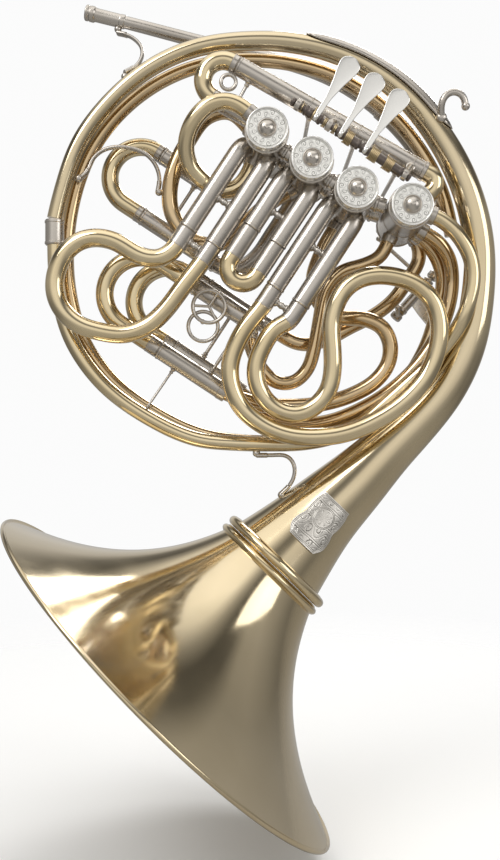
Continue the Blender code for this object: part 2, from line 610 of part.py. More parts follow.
def make_crooks():
    """Fixed bends between the valves and the slides."""
    route = [(-16, 225, -26.3), (-27, 223, -26.3), (-37, 214.5, -25), (-43, 204, -21.5), (-44.5, 193, -17),
             (-41, 183, -12), (-33, 175, -8.5), (-22, 169, -5), (-10, 171, -3), (-2, 180, -2.5)]
    side = Vector((-0.6, 0.0, -0.8))
    stop = at(0, 0, -2.5, 0) + side * (CASING_RADIUS + JOINT) * MM
    start = at(0, 0, -26.3, 0) + Vector((-0.6, 0, 0.8)) * (CASING_RADIUS + JOINT) * MM
    points = smooth([start] + layout(route, 0.0) + [stop], start=Vector((-0.72, 0, 0.69)), end=-side)
    finish(tube("front_crook", points, 5.8), "brass")

    start = at(0, 0, 8.0, 0) + Vector((-0.6, 0, 0.8)) * (CASING_RADIUS + JOINT) * MM
    route = [(-16, 230, 8), (-31, 226, 8), (-44, 209, 8), (-54, 190, 8), (-58, 172, 8), (-57, 158, 8),
             (-51, 146, 8), (-41, 136, 8), (-26, 133, 8), (-10, 142, 8), (6, 157, 8), (18, 166.5, 8)]
    side = Vector((-0.8, 0.0, -0.6))
    stop = at(0, 0, 8.0, 1) + side * (CASING_RADIUS + JOINT) * MM
    points = smooth([start] + layout(route, 0.0) + [stop], start=Vector((-0.72, 0, 0.69)), end=-side)
    finish(tube("back_crook", points, 5.8), "brass")

    side = Vector((-0.55, 0.0, -0.84))
    start = at(0, 0, 6.0, 3) + side * (CASING_RADIUS + JOINT) * MM
    route = [(93, 124, 6), (80, 118, 6), (66, 114, 6), (55, 102, 6), (50, 80, 6), (46, 58, 6), (41, 43, 6),
             (31, 34, 6), (19, 34, 6), (9, 43, 6), (2, 56, 6)]
    stop = across(-39.0, 65.0 - SLEEVE_RADIUS - GAP - 0.3, 6.0)
    points = smooth([start] + layout(route, 0.0) + [stop], start=side, end=-DOWN)
    finish(tube("inner_crook", points, 5.0), "brass")

    start = at(0, CASING_RADIUS + JOINT, 18.0, 2)
    route = [(52, 129, 18), (46, 108, 18), (51, 92, 18), (64, 82, 14), (83, 80, 8), (95, 74, 6), (101, 61, 6),
             (99, 47, 6), (90, 35, 6), (75, 26, 6), (57, 20, 6), (41, 17.5, 6), (24, 17, 6), (8, 18, 6),
             (-6, 22, 6)]
    stop = across(-33.4, 12.5, 6.0)
    points = smooth([start] + layout(route, 0.0) + [stop], start=DOWN, end=-ROW)
    finish(tube("lower_crook", points, 5.6), "brass")

    side = Vector((0.8, 0.0, -0.6))
    start = at(0, 0, 24.4, 3) + side * (CASING_RADIUS + JOINT) * MM
    route = [(125.5, 128, 26), (116, 110, 26), (106, 96, 26), (92, 85, 26), (74, 76, 26), (55, 66, 25),
             (38, 63, 23)]
    stop = across(-25.4, 71.0, 22.0)
    points = smooth([start] + layout(route, 0.0) + [stop], start=side, end=-ROW)
    finish(tube("return_crook", points, 5.2), "brass")


# ---------------------------------------------------------------- levers

def along_rod(reach, side=ROD_SIDE, depth=ROD_DEPTH):
    """World position beside the valve row: along the row, across it and in depth."""
    return at(reach, side, depth)


def make_bridge():
    """Three posts and a strap that carry the hinge rod of the levers."""
    strap = tube("lever_bridge", [along_rod(7.5, -28.4, -29), along_rod(96.4, -28.4, -29)], 1.6)
    pieces = []
    for i, (reach, foot) in enumerate(((9.0, -32.4), (34.0, -34.0), (94.6, -37.4))):
        route = [along_rod(reach), along_rod(reach, -28.4, -29), along_rod(reach, foot, -20.2)]
        pieces.append(tube("post_%d" % i, route, 1.9, sides=1))
        pieces.append(tube("eye_%d" % i, [along_rod(reach - 1.9), along_rod(reach + 1.9)], 4.0))
    frame = combine(strap, pieces)
    hole = as_mesh(tube("rod_hole", [along_rod(-2), along_rod(104)], ROD_RADIUS + 0.55))
    CUTTERS.objects.link(hole)
    PARTS.objects.unlink(hole)
    hole.hide_render = True
    hole.display_type = "WIRE"
    cut = frame.modifiers.new("rod_hole", "BOOLEAN")
    cut.operation = "DIFFERENCE"
    cut.object = hole
    cut.solver = "EXACT"
    finish(frame, "nickel")
    rod = [(0.0, 93.6), (2.7, 93.6), (2.7, 91.8), (ROD_RADIUS, 91.8), (ROD_RADIUS, 1.3), (3.0, 1.3),
           (3.0, -1.0), (0.0, -1.0)]
    finish(turned("hinge_rod", rod, along_rod(5.0), ROW, 8), "dark")


def make_lever(index):
    """A spatula, its barrel on the hinge rod, and the bent wire arm to the back of its rotor."""
    name = "lever_%d" % (index + 1)
    stem, arm = LEVER_STEMS[index], LEVER_ARMS[index]
    low, high = min(stem, arm) - 3.8, max(stem, arm) + 3.8
    barrel = sleeve(name, along_rod(low), along_rod(high), BARREL_RADIUS, ROD_RADIUS + 0.45, 12)
    edge = [(1.8, -3.0), (1.8, 14.0), (4.3, 26.0), (7.2, 38.5), (6.6, 42.8), (3.2, 45.6)]
    outline = [(-x, y) for x, y in edge] + edge[::-1]
    pad = plate(name + "_pad", outline, PADDLE_THICKNESS,
                axes(along_rod(stem, ROD_SIDE, ROD_DEPTH - PADDLE_RAISE), ROW, -DOWN))
    side = BAR_OFFSET if arm > VALVES[index][0] + BAR_OFFSET else arm
    bar = VALVES[index][0] + side
    wire = [along_rod(arm, ROD_SIDE, ROD_DEPTH + 2.8), along_rod(arm, ROD_SIDE, BAR_DEPTH - 4),
            along_rod(arm - 2, ROD_SIDE + 1.5, BAR_DEPTH - 1), along_rod(bar + 1.5, ROD_SIDE + 7, BAR_DEPTH),
            along_rod(bar, ROD_SIDE + 9, BAR_DEPTH), along_rod(bar, 4.0, BAR_DEPTH)]
    lever = combine(barrel, [pad, tube(name + "_arm", wire, WIRE_RADIUS)])
    lever.name = name
    finish(lever, "satin")


THUMB_AXIS = Vector((0.674, 0.0, 0.739))
THUMB_SIDE = Vector((-0.739, 0.0, 0.674))
THUMB_MIDDLE = Vector((124.5, 43.0, 101.0))


def thumb(along, side, depth):
    """World position in the thumb lever's frame: along its axis, across it and in depth."""
    point = THUMB_MIDDLE + THUMB_AXIS * along + THUMB_SIDE * side
    return place(point.x, THUMB_MIDDLE.y + depth, point.z)


def make_thumb_lever():
    """The lever behind the horn that turns the change valve, and the bracket that holds it."""
    barrel = sleeve("thumb_lever", thumb(-15, 0, 0), thumb(17, 0, 0), 4.2, 2.45, 12)
    outline = [(-8, 4), (-9, 24), (-6, 30), (6, 30), (9, 24), (8, 4)]
    neck = axes(thumb(-5, 0, 2.6), THUMB_AXIS, -THUMB_SIDE)
    pad = plate("thumb_pad", [(x, y - 1.6) for x, y in outline], PADDLE_THICKNESS, neck)
    hub = 26.5 - HUB_RADIUS - WIRE_RADIUS - 2.0
    wire = [thumb(14, 0, 3.0), thumb(14, 0, 10), thumb(15, 2, 12.5), thumb(hub, 10, 13), thumb(hub, 50, 13)]
    lever = combine(barrel, [pad, tube("thumb_arm", wire, WIRE_RADIUS)])
    lever.name = "thumb_lever"
    finish(lever, "satin")
    stations = [(-22.5, 2.2), (-17, 2.2), (-16.9, 1.0), (18.4, 1.0), (18.5, 2.2), (24.5, 2.2)]
    base = tube("thumb_bracket", [thumb(along, 0, 0) for along, scale in stations], 2.0,
                [scale for along, scale in stations])
    foot = tube("thumb_foot", [thumb(-19.6, 0, -0.6), thumb(-19.6, 0, -5), thumb(-16, 5, -11.3)], 1.8)
    finish(combine(base, [foot]), "nickel")


# ---------------------------------------------------------------- guards and braces

def make_hand_guard():
    """A thin plate that wraps the outside of the bell tail where the left hand holds it."""
    knots = [(x, z, r) for x, z, r in TAIL if 30 < x and z > 160]
    points = layout([(x, z) for x, z, r in knots], 0.0)
    fine = smooth(points, turn=math.radians(12), longest=0.03)
    run = np.cumsum([0.0] + [(b - a).length for a, b in zip(fine, fine[1:])])
    reach = np.cumsum([0.0] + [(b - a).length for a, b in zip(points, points[1:])])
    sizes = np.interp(run * reach[-1] / run[-1], reach, [r for x, z, r in knots])
    guard = wrap("hand_guard", fine, sizes + 1.9, -70, 70, 0.7)
    hook = tube("pinky_hook", smooth(layout(PINKY_HOOK, 0.0), turn=math.radians(22)), 2.2)
    finish(combine(guard, [hook]), "nickel")


PINKY_HOOK = [(134.4, 219.5, -9.8), (133.5, 227, -13), (136, 233, -14), (142, 236, -14), (148.5, 233, -14),
              (150.5, 226, -13)]
BRACES = {
    "receiver_brace": [(-98, 292.8, 24), (-90, 290, 21), (-83, 284, 16), (-78, 276, 11), (-78, 267, 7),
                       (-82, 260, 4), (-90, 254.5, 1)],
    "left_brace": [(-117, 183, 4), (-114, 193, 5), (-106, 201, 6), (-95, 203.5, 6), (-83, 202, 6), (-73, 197, 6),
                   (-67, 189, 7), (-65, 180, 8), (-66.6, 171, 8)],
    "bottom_brace": [(4, -18, 0), (17, -18, 0), (26, -18, 0), (31, -23, 0), (32, -31, 0), (29, -38.5, 0),
                     (21.8, -45.6, 0)],
}


def make_braces():
    for name, route in BRACES.items():
        finish(tube(name, smooth(layout(route, 0.0), turn=math.radians(22)), BRACE_RADIUS), "nickel")


clear_scene()
PARTS = collection("french_horn")
CUTTERS = collection("cutters")
make_bell()
make_bell_tail()
make_nameplate()
for valve in range(4):
    make_valve(valve)
make_front_slides()
for slide_name, settings in BACK_SLIDES.items():
    make_back_slide(slide_name, **settings)
make_tuning_slide()
make_leadpipe()
make_branches()
make_crooks()
make_bridge()
for lever_index in range(3):
    make_lever(lever_index)
make_thumb_lever()
make_hand_guard()
make_braces()
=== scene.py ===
# %% [markdown]
# # A double french horn
# A horn is a long cone of thin metal, coiled so that it can be held. Almost every part of it is round in
# section: tubes that follow a path, and turned parts that are round about an axis. So nearly all the
# pieces below come from two surfaces, a circle carried along a path and a profile spun about an axis.
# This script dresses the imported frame: each fine piece rides on a body of the frame and stands for a
# plain solid there. Measures are millimetres in the text and metres in the mesh.

# %% Load the frame
import math

import bmesh
import bpy
import numpy as np
from mathutils import Matrix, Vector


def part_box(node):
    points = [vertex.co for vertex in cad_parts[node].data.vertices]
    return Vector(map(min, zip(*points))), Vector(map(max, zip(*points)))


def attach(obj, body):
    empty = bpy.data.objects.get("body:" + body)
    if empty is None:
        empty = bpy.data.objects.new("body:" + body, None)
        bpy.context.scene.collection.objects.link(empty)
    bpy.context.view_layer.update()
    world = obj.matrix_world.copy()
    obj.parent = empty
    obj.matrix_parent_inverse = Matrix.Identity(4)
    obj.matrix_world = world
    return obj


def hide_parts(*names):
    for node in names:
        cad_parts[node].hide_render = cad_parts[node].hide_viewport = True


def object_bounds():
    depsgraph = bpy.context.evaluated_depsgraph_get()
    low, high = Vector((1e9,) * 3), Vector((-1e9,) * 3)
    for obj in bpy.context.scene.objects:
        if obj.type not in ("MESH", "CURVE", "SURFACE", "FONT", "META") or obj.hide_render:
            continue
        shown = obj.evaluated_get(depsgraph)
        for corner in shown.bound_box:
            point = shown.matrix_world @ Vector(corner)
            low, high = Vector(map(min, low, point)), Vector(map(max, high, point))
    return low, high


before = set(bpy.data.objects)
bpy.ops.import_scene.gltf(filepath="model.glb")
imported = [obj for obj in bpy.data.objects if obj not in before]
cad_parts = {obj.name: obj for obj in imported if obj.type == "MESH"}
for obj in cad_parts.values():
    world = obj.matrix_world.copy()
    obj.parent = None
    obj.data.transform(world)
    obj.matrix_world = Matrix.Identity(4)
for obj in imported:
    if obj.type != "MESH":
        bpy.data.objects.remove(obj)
cad_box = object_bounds()

# %% [markdown]
# ## Places
# The horn is laid out on a drawing in its own plane: x to the right, z up, and depth away from the
# player's side. The three rotors stand in a tilted row, so many places are easier to give from a valve's
# centre, along the row and along the slides that hang from it.

# %% Drawing places and directions
MM = 0.001
DRAWING_ORIGIN = np.array([1.85, -9.43, 15.78])
BACK = np.array([0.0, 1.0, 0.0])
ROW_TILT = math.radians(33.3)
ROW = np.array([math.cos(ROW_TILT), 0.0, -math.sin(ROW_TILT)])
DOWN = np.array([-math.sin(ROW_TILT), 0.0, -math.cos(ROW_TILT)])
FIRST_VALVE = np.array([11.4, 0.0, 202.6])
VALVES = [(0.0, 0.0), (36.3, 0.0), (72.6, 0.0), (109.7, -10.7)]


def unit(vectors):
    """A vector divided by its own length, or each row of an array by its own."""
    vectors = np.asarray(vectors, float)
    return vectors / np.linalg.norm(vectors, axis=-1, keepdims=True)


def place(points):
    """Drawing millimetres to world metres: subtract the origin, then scale by a thousandth."""
    return (np.asarray(points, float) - DRAWING_ORIGIN) * MM


def at(row, down, depth, valve=0):
    """A world place from a valve's centre: along the row, along the slides, and in depth."""
    along, across_row = VALVES[valve]
    return place(FIRST_VALVE + ROW * (along + row) + DOWN * (across_row + down) + BACK * depth)


def across(along_row, line, depth):
    """A world place from the drawing's middle: along the row, then square to it, and in depth."""
    return place(ROW * along_row - DOWN * line + BACK * depth)


def drawn(points, depth=0.0):
    """World places of (x, z) pairs at one depth, or of (x, z, depth) triples."""
    return place([(p[0], p[2] if len(p) > 2 else depth, p[1]) for p in points])


cap_low, cap_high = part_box("valve_cap_1")
cap_centre = (np.array(cap_low) + np.array(cap_high)) / 2
print("valve 1 is off its CAD cap by", round(float(np.linalg.norm((at(0, 0, 0) - cap_centre)[[0, 2]])) / MM, 3), "mm")

# %% [markdown]
# ## Paths
# Brass tube is bent over formers, so its curvature changes slowly. A cubic through given knots has
# small jumps of curvature that a mirror finish would show, so each path is sampled densely, spaced
# evenly and then blurred a little with a bell-shaped weight. The ends stay put because the path is
# mirrored through each end point before it is blurred.

# %% Smooth paths
STEP = 1.6


def distance_along(path):
    """How far each point of a path lies from its start: the running sum of the steps' lengths."""
    return np.concatenate([[0.0], np.cumsum(np.linalg.norm(np.diff(path, axis=0), axis=1))])


def even(path, step=STEP):
    """The same path with points at equal distances, found by linear interpolation along its length."""
    reach = distance_along(path)
    places = np.linspace(0.0, reach[-1], max(3, int(reach[-1] / (step * MM)) + 1))
    return np.stack([np.interp(places, reach, path[:, k]) for k in range(3)], axis=1)


def straight(start, stop, step=STEP):
    """A straight path between two places."""
    return even(np.array([start, stop]), step)


def blurred(path, width):
    """Each point becomes a Gaussian-weighted mean of its neighbours; width is the spread in points."""
    pad = min(int(width * 3), len(path) - 1)
    padded = np.concatenate([2 * path[0] - path[pad:0:-1], path, 2 * path[-1] - path[-2:-pad - 2:-1]])
    weight = np.exp(-0.5 * (np.arange(-pad, pad + 1) / width) ** 2)
    return np.stack([np.convolve(column, weight / weight.sum(), "valid") for column in padded.T], axis=1)


def curve(knots, start=None, end=None, width=2.5):
    """A cubic between neighbouring knots: p(t) = h00 a + h10 L ta + h01 b + h11 L tb.

    L is the chord. An inner tangent is the mean of its two chord directions, each weighted by the other
    chord's length. start and end replace the tangents at the two ends.
    """
    knots = np.asarray(knots, float)
    chords = np.diff(knots, axis=0)
    lengths = np.linalg.norm(chords, axis=1)[:, None]
    slopes = chords / lengths
    weight = lengths[:-1] / (lengths[:-1] + lengths[1:])
    first = slopes[:1] if start is None else np.array([unit(start)])
    last = slopes[-1:] if end is None else np.array([unit(end)])
    tangents = np.concatenate([first, slopes[:-1] * (1 - weight) + slopes[1:] * weight, last])
    t = np.linspace(0, 1, 32, endpoint=False)[None, :, None]
    a, b = knots[:-1, None], knots[1:, None]
    ta, tb = (tangents[:-1] * lengths)[:, None], (tangents[1:] * lengths)[:, None]
    dense = ((2 * t**3 - 3 * t**2 + 1) * a + (t**3 - 2 * t**2 + t) * ta
             + (3 * t**2 - 2 * t**3) * b + (t**3 - t**2) * tb).reshape(-1, 3)
    return blurred(even(np.concatenate([dense, knots[-1:]])), width)


def arc(centre, first, second, start, stop, steps=40):
    """Centre + first cos(a) + second sin(a), for angles a in degrees from start to stop."""
    angle = np.radians(np.linspace(start, stop, steps + 1))[:, None]
    return centre + np.asarray(first) * np.cos(angle) + np.asarray(second) * np.sin(angle)


def stretch(path, start, stop):
    """The part of a path between two distances in millimetres; a negative one counts from the far end."""
    reach = distance_along(path)
    ends = [d * MM if d >= 0 else reach[-1] + d * MM for d in (start, stop)]
    inside = reach[(reach > ends[0] + 1e-6) & (reach < ends[1] - 1e-6)]
    places = np.concatenate([[ends[0]], inside, [ends[1]]])
    return np.stack([np.interp(places, reach, path[:, k]) for k in range(3)], axis=1)


CORNER_SHARE = 0.45  # a rounding takes at most this share of a side


def softened(points, radius, steps=5, closed=False):
    """Round each corner c with the curve (1-t)^2 a + 2t(1-t) c + t^2 b, a and b lying on its two sides."""
    points = np.asarray(points, float)
    middle = points if closed else points[1:-1]
    before = (np.roll(points, 1, axis=0) if closed else points[:-2]) - middle
    after = (np.roll(points, -1, axis=0) if closed else points[2:]) - middle
    cut = [side * np.minimum(radius / np.linalg.norm(side, axis=1), CORNER_SHARE)[:, None]
           for side in (before, after)]
    t = np.linspace(0, 1, steps)[None, :, None]
    a, b, c = (middle + cut[0])[:, None], (middle + cut[1])[:, None], middle[:, None]
    rounded = ((1 - t) ** 2 * a + 2 * t * (1 - t) * c + t**2 * b).reshape(-1, points.shape[1])
    if closed:
        return np.concatenate([rounded, rounded[:1]])
    return np.concatenate([points[:1], rounded, points[-1:]])


print("a 100 mm path gets", len(straight([0, 0, 0], [0.1, 0, 0])), "points")

# %% [markdown]
# ## Two surfaces
# **Swept:** a circle or an ellipse carried along a path. It needs two directions square to the path at
# every point. Most tubes lie nearly in the horn's plane, so the depth direction is a steady guide for
# them, and arms that run through the depth use the row's direction. **Turned:** a profile spun about an
# axis. Both keep a map whose two numbers are metres along and metres around, so that polishing marks
# have one size on every piece. Ends and poles shrink to a point and are merged, so each shape is closed.

# %% Swept and turned surfaces
SIDES = 36
END_BEVEL = 0.35


def surface(points, along, around, tone=None):
    """A grid of points (rows, columns, 3) with its map, and a tone that a material may read."""
    shape = points.shape[:2]
    uv = np.stack([np.broadcast_to(along[:, None], shape), np.broadcast_to(around, shape)], axis=-1)
    return {"points": points, "uv": uv, "tone": np.zeros(shape) if tone is None else tone}


def swept(path, wide, thick=None, guide=BACK, sides=SIDES, caps=True, bevel=END_BEVEL):
    """Point = path + wide cos(a) side + thick sin(a) other, for a from 0 to a full turn.

    side is the guide crossed with the path's direction, other is square to both. With caps, each end
    gets a small bevel and closes to a point.
    """
    path = np.asarray(path, float)
    count = len(path)
    wide = np.interp(np.linspace(0, 1, count), np.linspace(0, 1, np.size(wide)), np.ravel(wide)) * MM
    thick = wide if thick is None else np.broadcast_to(np.asarray(thick, float) * MM, count)
    ahead = unit(np.gradient(path, axis=0))
    side = unit(np.cross(guide, ahead))
    other = np.cross(ahead, side)
    along = distance_along(path)
    if caps:
        cut = bevel * MM
        take = np.concatenate([[0, 0, 0], np.arange(1, count - 1), [count - 1] * 3])
        shift = np.zeros(len(take))
        shift[2], shift[-3] = cut, -cut
        path = path[take] + ahead[take] * shift[:, None]
        shrink = np.zeros(len(take))
        shrink[[1, -2]] = cut
        wide, thick = wide[take] - shrink, thick[take] - shrink
        wide[[0, -1]] = thick[[0, -1]] = 0.0
        side, other, along = side[take], other[take], along[take]
    turn = np.linspace(0, 2 * np.pi, sides + 1)
    points = (path[:, None] + wide[:, None, None] * np.cos(turn)[None, :, None] * side[:, None]
              + thick[:, None, None] * np.sin(turn)[None, :, None] * other[:, None])
    return surface(points, along, turn * float(wide.max()))


def turned(profile, where, axis, sides, tone=None):
    """Point = where + r (cos(a) side + sin(a) other) + h axis, for each (r, h) of the profile."""
    profile = np.asarray(profile, float) * MM
    axis = unit(axis)
    guide = BACK if abs(axis @ BACK) < 0.9 else ROW
    side = unit(np.cross(guide, axis))
    other = np.cross(axis, side)
    turn = np.linspace(0, 2 * np.pi, sides + 1)
    ring = np.cos(turn)[:, None] * side + np.sin(turn)[:, None] * other
    points = np.asarray(where) + profile[:, 0, None, None] * ring + profile[:, 1, None, None] * axis
    return surface(points, distance_along(profile), turn * float(profile[:, 0].max()), tone)


def collar(path, middle, length, radius, guide=BACK):
    """A short, slightly fatter sleeve around a path, its edges rounded: a ferrule or a bead."""
    half = length / 2
    part = even(stretch(path, middle - half, middle + half), 0.8)
    return swept(part, radius, guide=guide, bevel=min(0.5, half * 0.6))


def spun(profile, rounding, where, axis, sides):
    """A turned ring from a closed profile, its corners rounded."""
    return turned(softened(profile, rounding, closed=True), where, axis, sides)


def ball(where, radius, axis=BACK, squash=1.0):
    """A turned half circle: r = R sin(b), h = -R cos(b), flattened along its axis by squash."""
    b = np.linspace(0, np.pi, 15)
    return turned(np.stack([radius * np.sin(b), -radius * squash * np.cos(b)], axis=1), where, axis, 28)


def post(start, stop, waist, foot):
    """A turned strut between two tubes: a cup at each end, a bead, and a thin waist."""
    start, stop = np.asarray(start), np.asarray(stop)
    length = np.linalg.norm(stop - start) / MM
    half = [(0, 0), (foot, 0), (foot, 0.7), (foot - 0.7, 1.5), (waist + 0.1, 2.2), (waist + 0.8, 3.0),
            (waist, 3.9)]
    profile = softened(half + [(r, length - h) for r, h in half[::-1]], 0.5)
    return turned(profile, start, stop - start, 28)


# %% [markdown]
# ## One object from several surfaces
# A soldered assembly, such as a slide with its two ferrules and its brace, is one piece with two or three
# finishes. The surfaces are stacked into one mesh with a material number for each face. Then the seams
# and poles are merged and every shell is turned to face outwards.

# %% Build a piece
pieces = {}


def grid_faces(rows, columns):
    """The four corner numbers of each cell of a grid, row by row."""
    number = np.arange(rows * columns).reshape(rows, columns)
    corners = [number[:-1, :-1], number[:-1, 1:], number[1:, 1:], number[1:, :-1]]
    return np.stack(corners, axis=-1).reshape(-1, 4)


def add_object(name, data):
    """An object at the origin, linked to the scene."""
    thing = bpy.data.objects.new(name, data)
    bpy.context.scene.collection.objects.link(thing)
    return thing


def piece(name, body, nodes, parts, wall=0.0, sharp=32.0):
    """Stack (surface, material) pairs into one mesh: cell (i, j) joins grid points i..i+1 and j..j+1."""
    corners, faces, uvs, tones, marks, start = [], [], [], [], [], 0
    finishes = list(dict.fromkeys(material.name for _, material in parts))
    for shape, material in parts:
        rows, columns = shape["points"].shape[:2]
        quads = grid_faces(rows, columns)
        corners.append(shape["points"].reshape(-1, 3))
        faces.append(quads + start)
        uvs.append(shape["uv"].reshape(-1, 2)[quads.ravel()])
        tones.append(shape["tone"].ravel()[quads.ravel()])
        marks.append(np.full(len(quads), finishes.index(material.name)))
        start += rows * columns
    mesh = bpy.data.meshes.new(name)
    mesh.from_pydata(np.concatenate(corners).tolist(), [], np.concatenate(faces).tolist())
    mesh.uv_layers.new(name="Metres").data.foreach_set("uv", np.concatenate(uvs).ravel())
    tone = np.concatenate(tones)
    mesh.uv_layers.new(name="Tone").data.foreach_set("uv", np.stack([tone, tone], axis=-1).ravel())
    mesh.polygons.foreach_set("material_index", np.concatenate(marks))
    shell = bmesh.new()
    shell.from_mesh(mesh)
    bmesh.ops.remove_doubles(shell, verts=shell.verts, dist=1e-6)
    bmesh.ops.recalc_face_normals(shell, faces=shell.faces)
    shell.to_mesh(mesh)
    shell.free()
    for finish in finishes:
        mesh.materials.append(bpy.data.materials[finish])
    mesh.shade_smooth()
    mesh.set_sharp_from_angle(angle=math.radians(sharp))
    thing = add_object(name, mesh)
    if wall:
        skin = thing.modifiers.new("wall", "SOLIDIFY")
        skin.thickness = wall * MM
        skin.offset = 0.0
    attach(thing, body)
    if nodes:
        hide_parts(*nodes)
    pieces[name] = len(mesh.polygons)
    print(name, "rides on", body, "with", len(mesh.polygons), "faces")


# %% [markdown]
# ## Finishes
# The bows, branches and bell are brass under clear lacquer, the sleeves, casings and braces are nickel
# silver, and the caps and levers are plated. What makes them look real is not colour but small changes:
# the metal's tone drifts a little, polishing leaves fine lines round the work, and handling leaves soft
# patches that are less sharp. The lines follow the piece's own map in metres, and the drift and the
# patches read the object's coordinates, so nothing slides when a piece moves.

# %% Metal finishes
def feed(tree, target, inputs):
    """Give each input a number, or a link where the value is another node's socket."""
    for key, value in inputs.items():
        if isinstance(value, bpy.types.NodeSocket):
            tree.links.new(value, target.inputs[key])
        else:
            target.inputs[key].default_value = value


def node(tree, kind, inputs=None, **settings):
    """Add a shader node, set its settings, then feed its inputs."""
    made = tree.nodes.new("ShaderNode" + kind)
    for key, value in settings.items():
        setattr(made, key, value)
    feed(tree, made, inputs or {})
    return made


def new_finish(name):
    """A material with nodes, its tree, and the shader that the finish is built on."""
    made = bpy.data.materials.new(name)
    made.use_nodes = True
    return made, made.node_tree, made.node_tree.nodes["Principled BSDF"]


def object_places(tree):
    """The object's own coordinates."""
    return node(tree, "TexCoord").outputs["Object"]


def noise(tree, source, scale, detail, stretch_by=None):
    """A noise on given coordinates, stretched by a mapping so that it runs along one direction."""
    if stretch_by is not None:
        source = node(tree, "Mapping", {"Scale": stretch_by, "Vector": source}).outputs["Vector"]
    return node(tree, "TexNoise", {"Scale": scale, "Detail": detail, "Vector": source}).outputs["Fac"]


def spread(tree, value, low, high, bottom=0.3, top=0.7):
    """Map a noise's middle range onto low to high."""
    return node(tree, "MapRange", {"From Min": bottom, "From Max": top, "To Min": low, "To Max": high,
                                   "Value": value}).outputs["Result"]


def ramped(tree, factor, stops):
    """A colour that blends between stops, each one a position and a colour."""
    made = node(tree, "ValToRGB", {"Fac": factor})
    for position, colour in stops[1:-1]:
        made.color_ramp.elements.new(position)
    for element, (position, colour) in zip(made.color_ramp.elements, stops):
        element.position, element.color = position, (*colour, 1.0)
    return made.outputs["Color"]


RELIEF = 0.0002


def bumped(tree, height, strength):
    """Normals bent as by a relief two tenths of a millimetre high."""
    return node(tree, "Bump", {"Strength": strength, "Distance": RELIEF, "Height": height}).outputs["Normal"]


def metal(name, pale, deep, rough, lines, lines_along=(60.0, 2600.0, 1.0), coat=0.0, engraved=None):
    """Two tones mixed by a slow noise, roughness from patches, and a bump of fine polishing lines."""
    made, tree, shader = new_finish(name)
    place_in = object_places(tree)
    map_in = node(tree, "UVMap", uv_map="Metres").outputs["UV"]
    colour = ramped(tree, noise(tree, place_in, 14.0, 4.0), [(0.34, deep), (0.66, pale)])
    if engraved is not None:
        map_tone = node(tree, "UVMap", uv_map="Tone").outputs["UV"]
        tone = node(tree, "SeparateXYZ", {"Vector": map_tone}).outputs["X"]
        mix = node(tree, "Mix", {"Factor": tone, "A": colour, "B": (*engraved, 1.0)}, data_type="RGBA")
        colour = mix.outputs["Result"]
    feed(tree, shader, {
        "Metallic": 1.0, "Coat Weight": coat, "Coat Roughness": 0.04, "Base Color": colour,
        "Roughness": spread(tree, noise(tree, place_in, 45.0, 6.0), rough[0], rough[1]),
        "Normal": bumped(tree, noise(tree, map_in, 1.0, 2.0, lines_along), lines)})
    return made


BRASS = metal("lacquered brass", (0.76, 0.64, 0.42), (0.70, 0.57, 0.35), (0.07, 0.15), 0.03, coat=0.25)
# A darker copy of the lacquered brass for the tubes that lie behind and inside the horn. It is painted shade, the
# darker tone those tubes take from the tubes around them, not a different metal.
SHADED_BRASS = metal("brass with painted shade", (0.68, 0.52, 0.32), (0.60, 0.44, 0.25), (0.08, 0.17), 0.03, coat=0.25)
BELL_BRASS = metal("spun brass", (0.70, 0.59, 0.40), (0.65, 0.54, 0.35), (0.08, 0.16), 0.02,
                   (700.0, 8.0, 1.0), coat=0.3)
NICKEL = metal("nickel silver", (0.61, 0.57, 0.52), (0.51, 0.47, 0.42), (0.19, 0.33), 0.22)
PLATED = metal("silver plate", (0.92, 0.91, 0.88), (0.86, 0.85, 0.82), (0.16, 0.30), 0.05)
FROSTED = metal("frosted silver", (0.97, 0.96, 0.92), (0.92, 0.91, 0.87), (0.42, 0.55), 0.06,
                engraved=(0.16, 0.15, 0.13))
STEEL = metal("dark steel", (0.20, 0.17, 0.15), (0.13, 0.11, 0.10), (0.24, 0.42), 0.12, (900.0, 60.0, 1.0))
SPRING = metal("spring bronze", (0.62, 0.50, 0.30), (0.50, 0.38, 0.22), (0.20, 0.34), 0.03)
ROTOR = metal("turned brass", (0.72, 0.58, 0.36), (0.62, 0.48, 0.28), (0.20, 0.34), 0.10, (1200.0, 30.0, 1.0))


def cork_finish():
    """Pressed cork: brown grains of several sizes from a cell pattern, dull and slightly rough."""
    made, tree, shader = new_finish("cork")
    cells = node(tree, "TexVoronoi", {"Scale": 1100.0, "Vector": object_places(tree)}).outputs["Distance"]
    grain = ramped(tree, cells, [(0.0, (0.16, 0.08, 0.04)), (1.0, (0.42, 0.26, 0.14))])
    feed(tree, shader, {"Base Color": grain, "Normal": bumped(tree, cells, 0.4), "Roughness": 0.85})
    return made


CORK = cork_finish()


def nickel(*shapes):
    """The same finish for several surfaces of a piece."""
    return [(shape, NICKEL) for shape in shapes]


print("finishes", len(bpy.data.materials))

# %% [markdown]
# ## The bell
# The flare is spun from sheet on a mandrel, so it is a true surface of revolution. Its radius grows as a
# power of the distance to a point ahead of the rim. The edge is rolled over a wire, which shows as a bead
# all round. The flare screws onto the throat with a two-part ring.

# %% Bell flare
RING_CENTRE = place([16.0, 0.0, -96.0])
RING_RADIUS, RIM_RADIUS = 39.6, 155.0
BELL_LENGTH, BELL_FOCUS, SHEET = 107.0, 250.0, 0.9
BELL_TURN, BELL_LEAN = math.radians(45.7), math.radians(5.0)
BELL_AXIS = np.array([-math.cos(BELL_TURN) * math.cos(BELL_LEAN), -math.sin(BELL_LEAN),
                      -math.sin(BELL_TURN) * math.cos(BELL_LEAN)])
FLARE_POWER = math.log(RIM_RADIUS / RING_RADIUS) / math.log(BELL_FOCUS / (BELL_FOCUS - BELL_LENGTH))


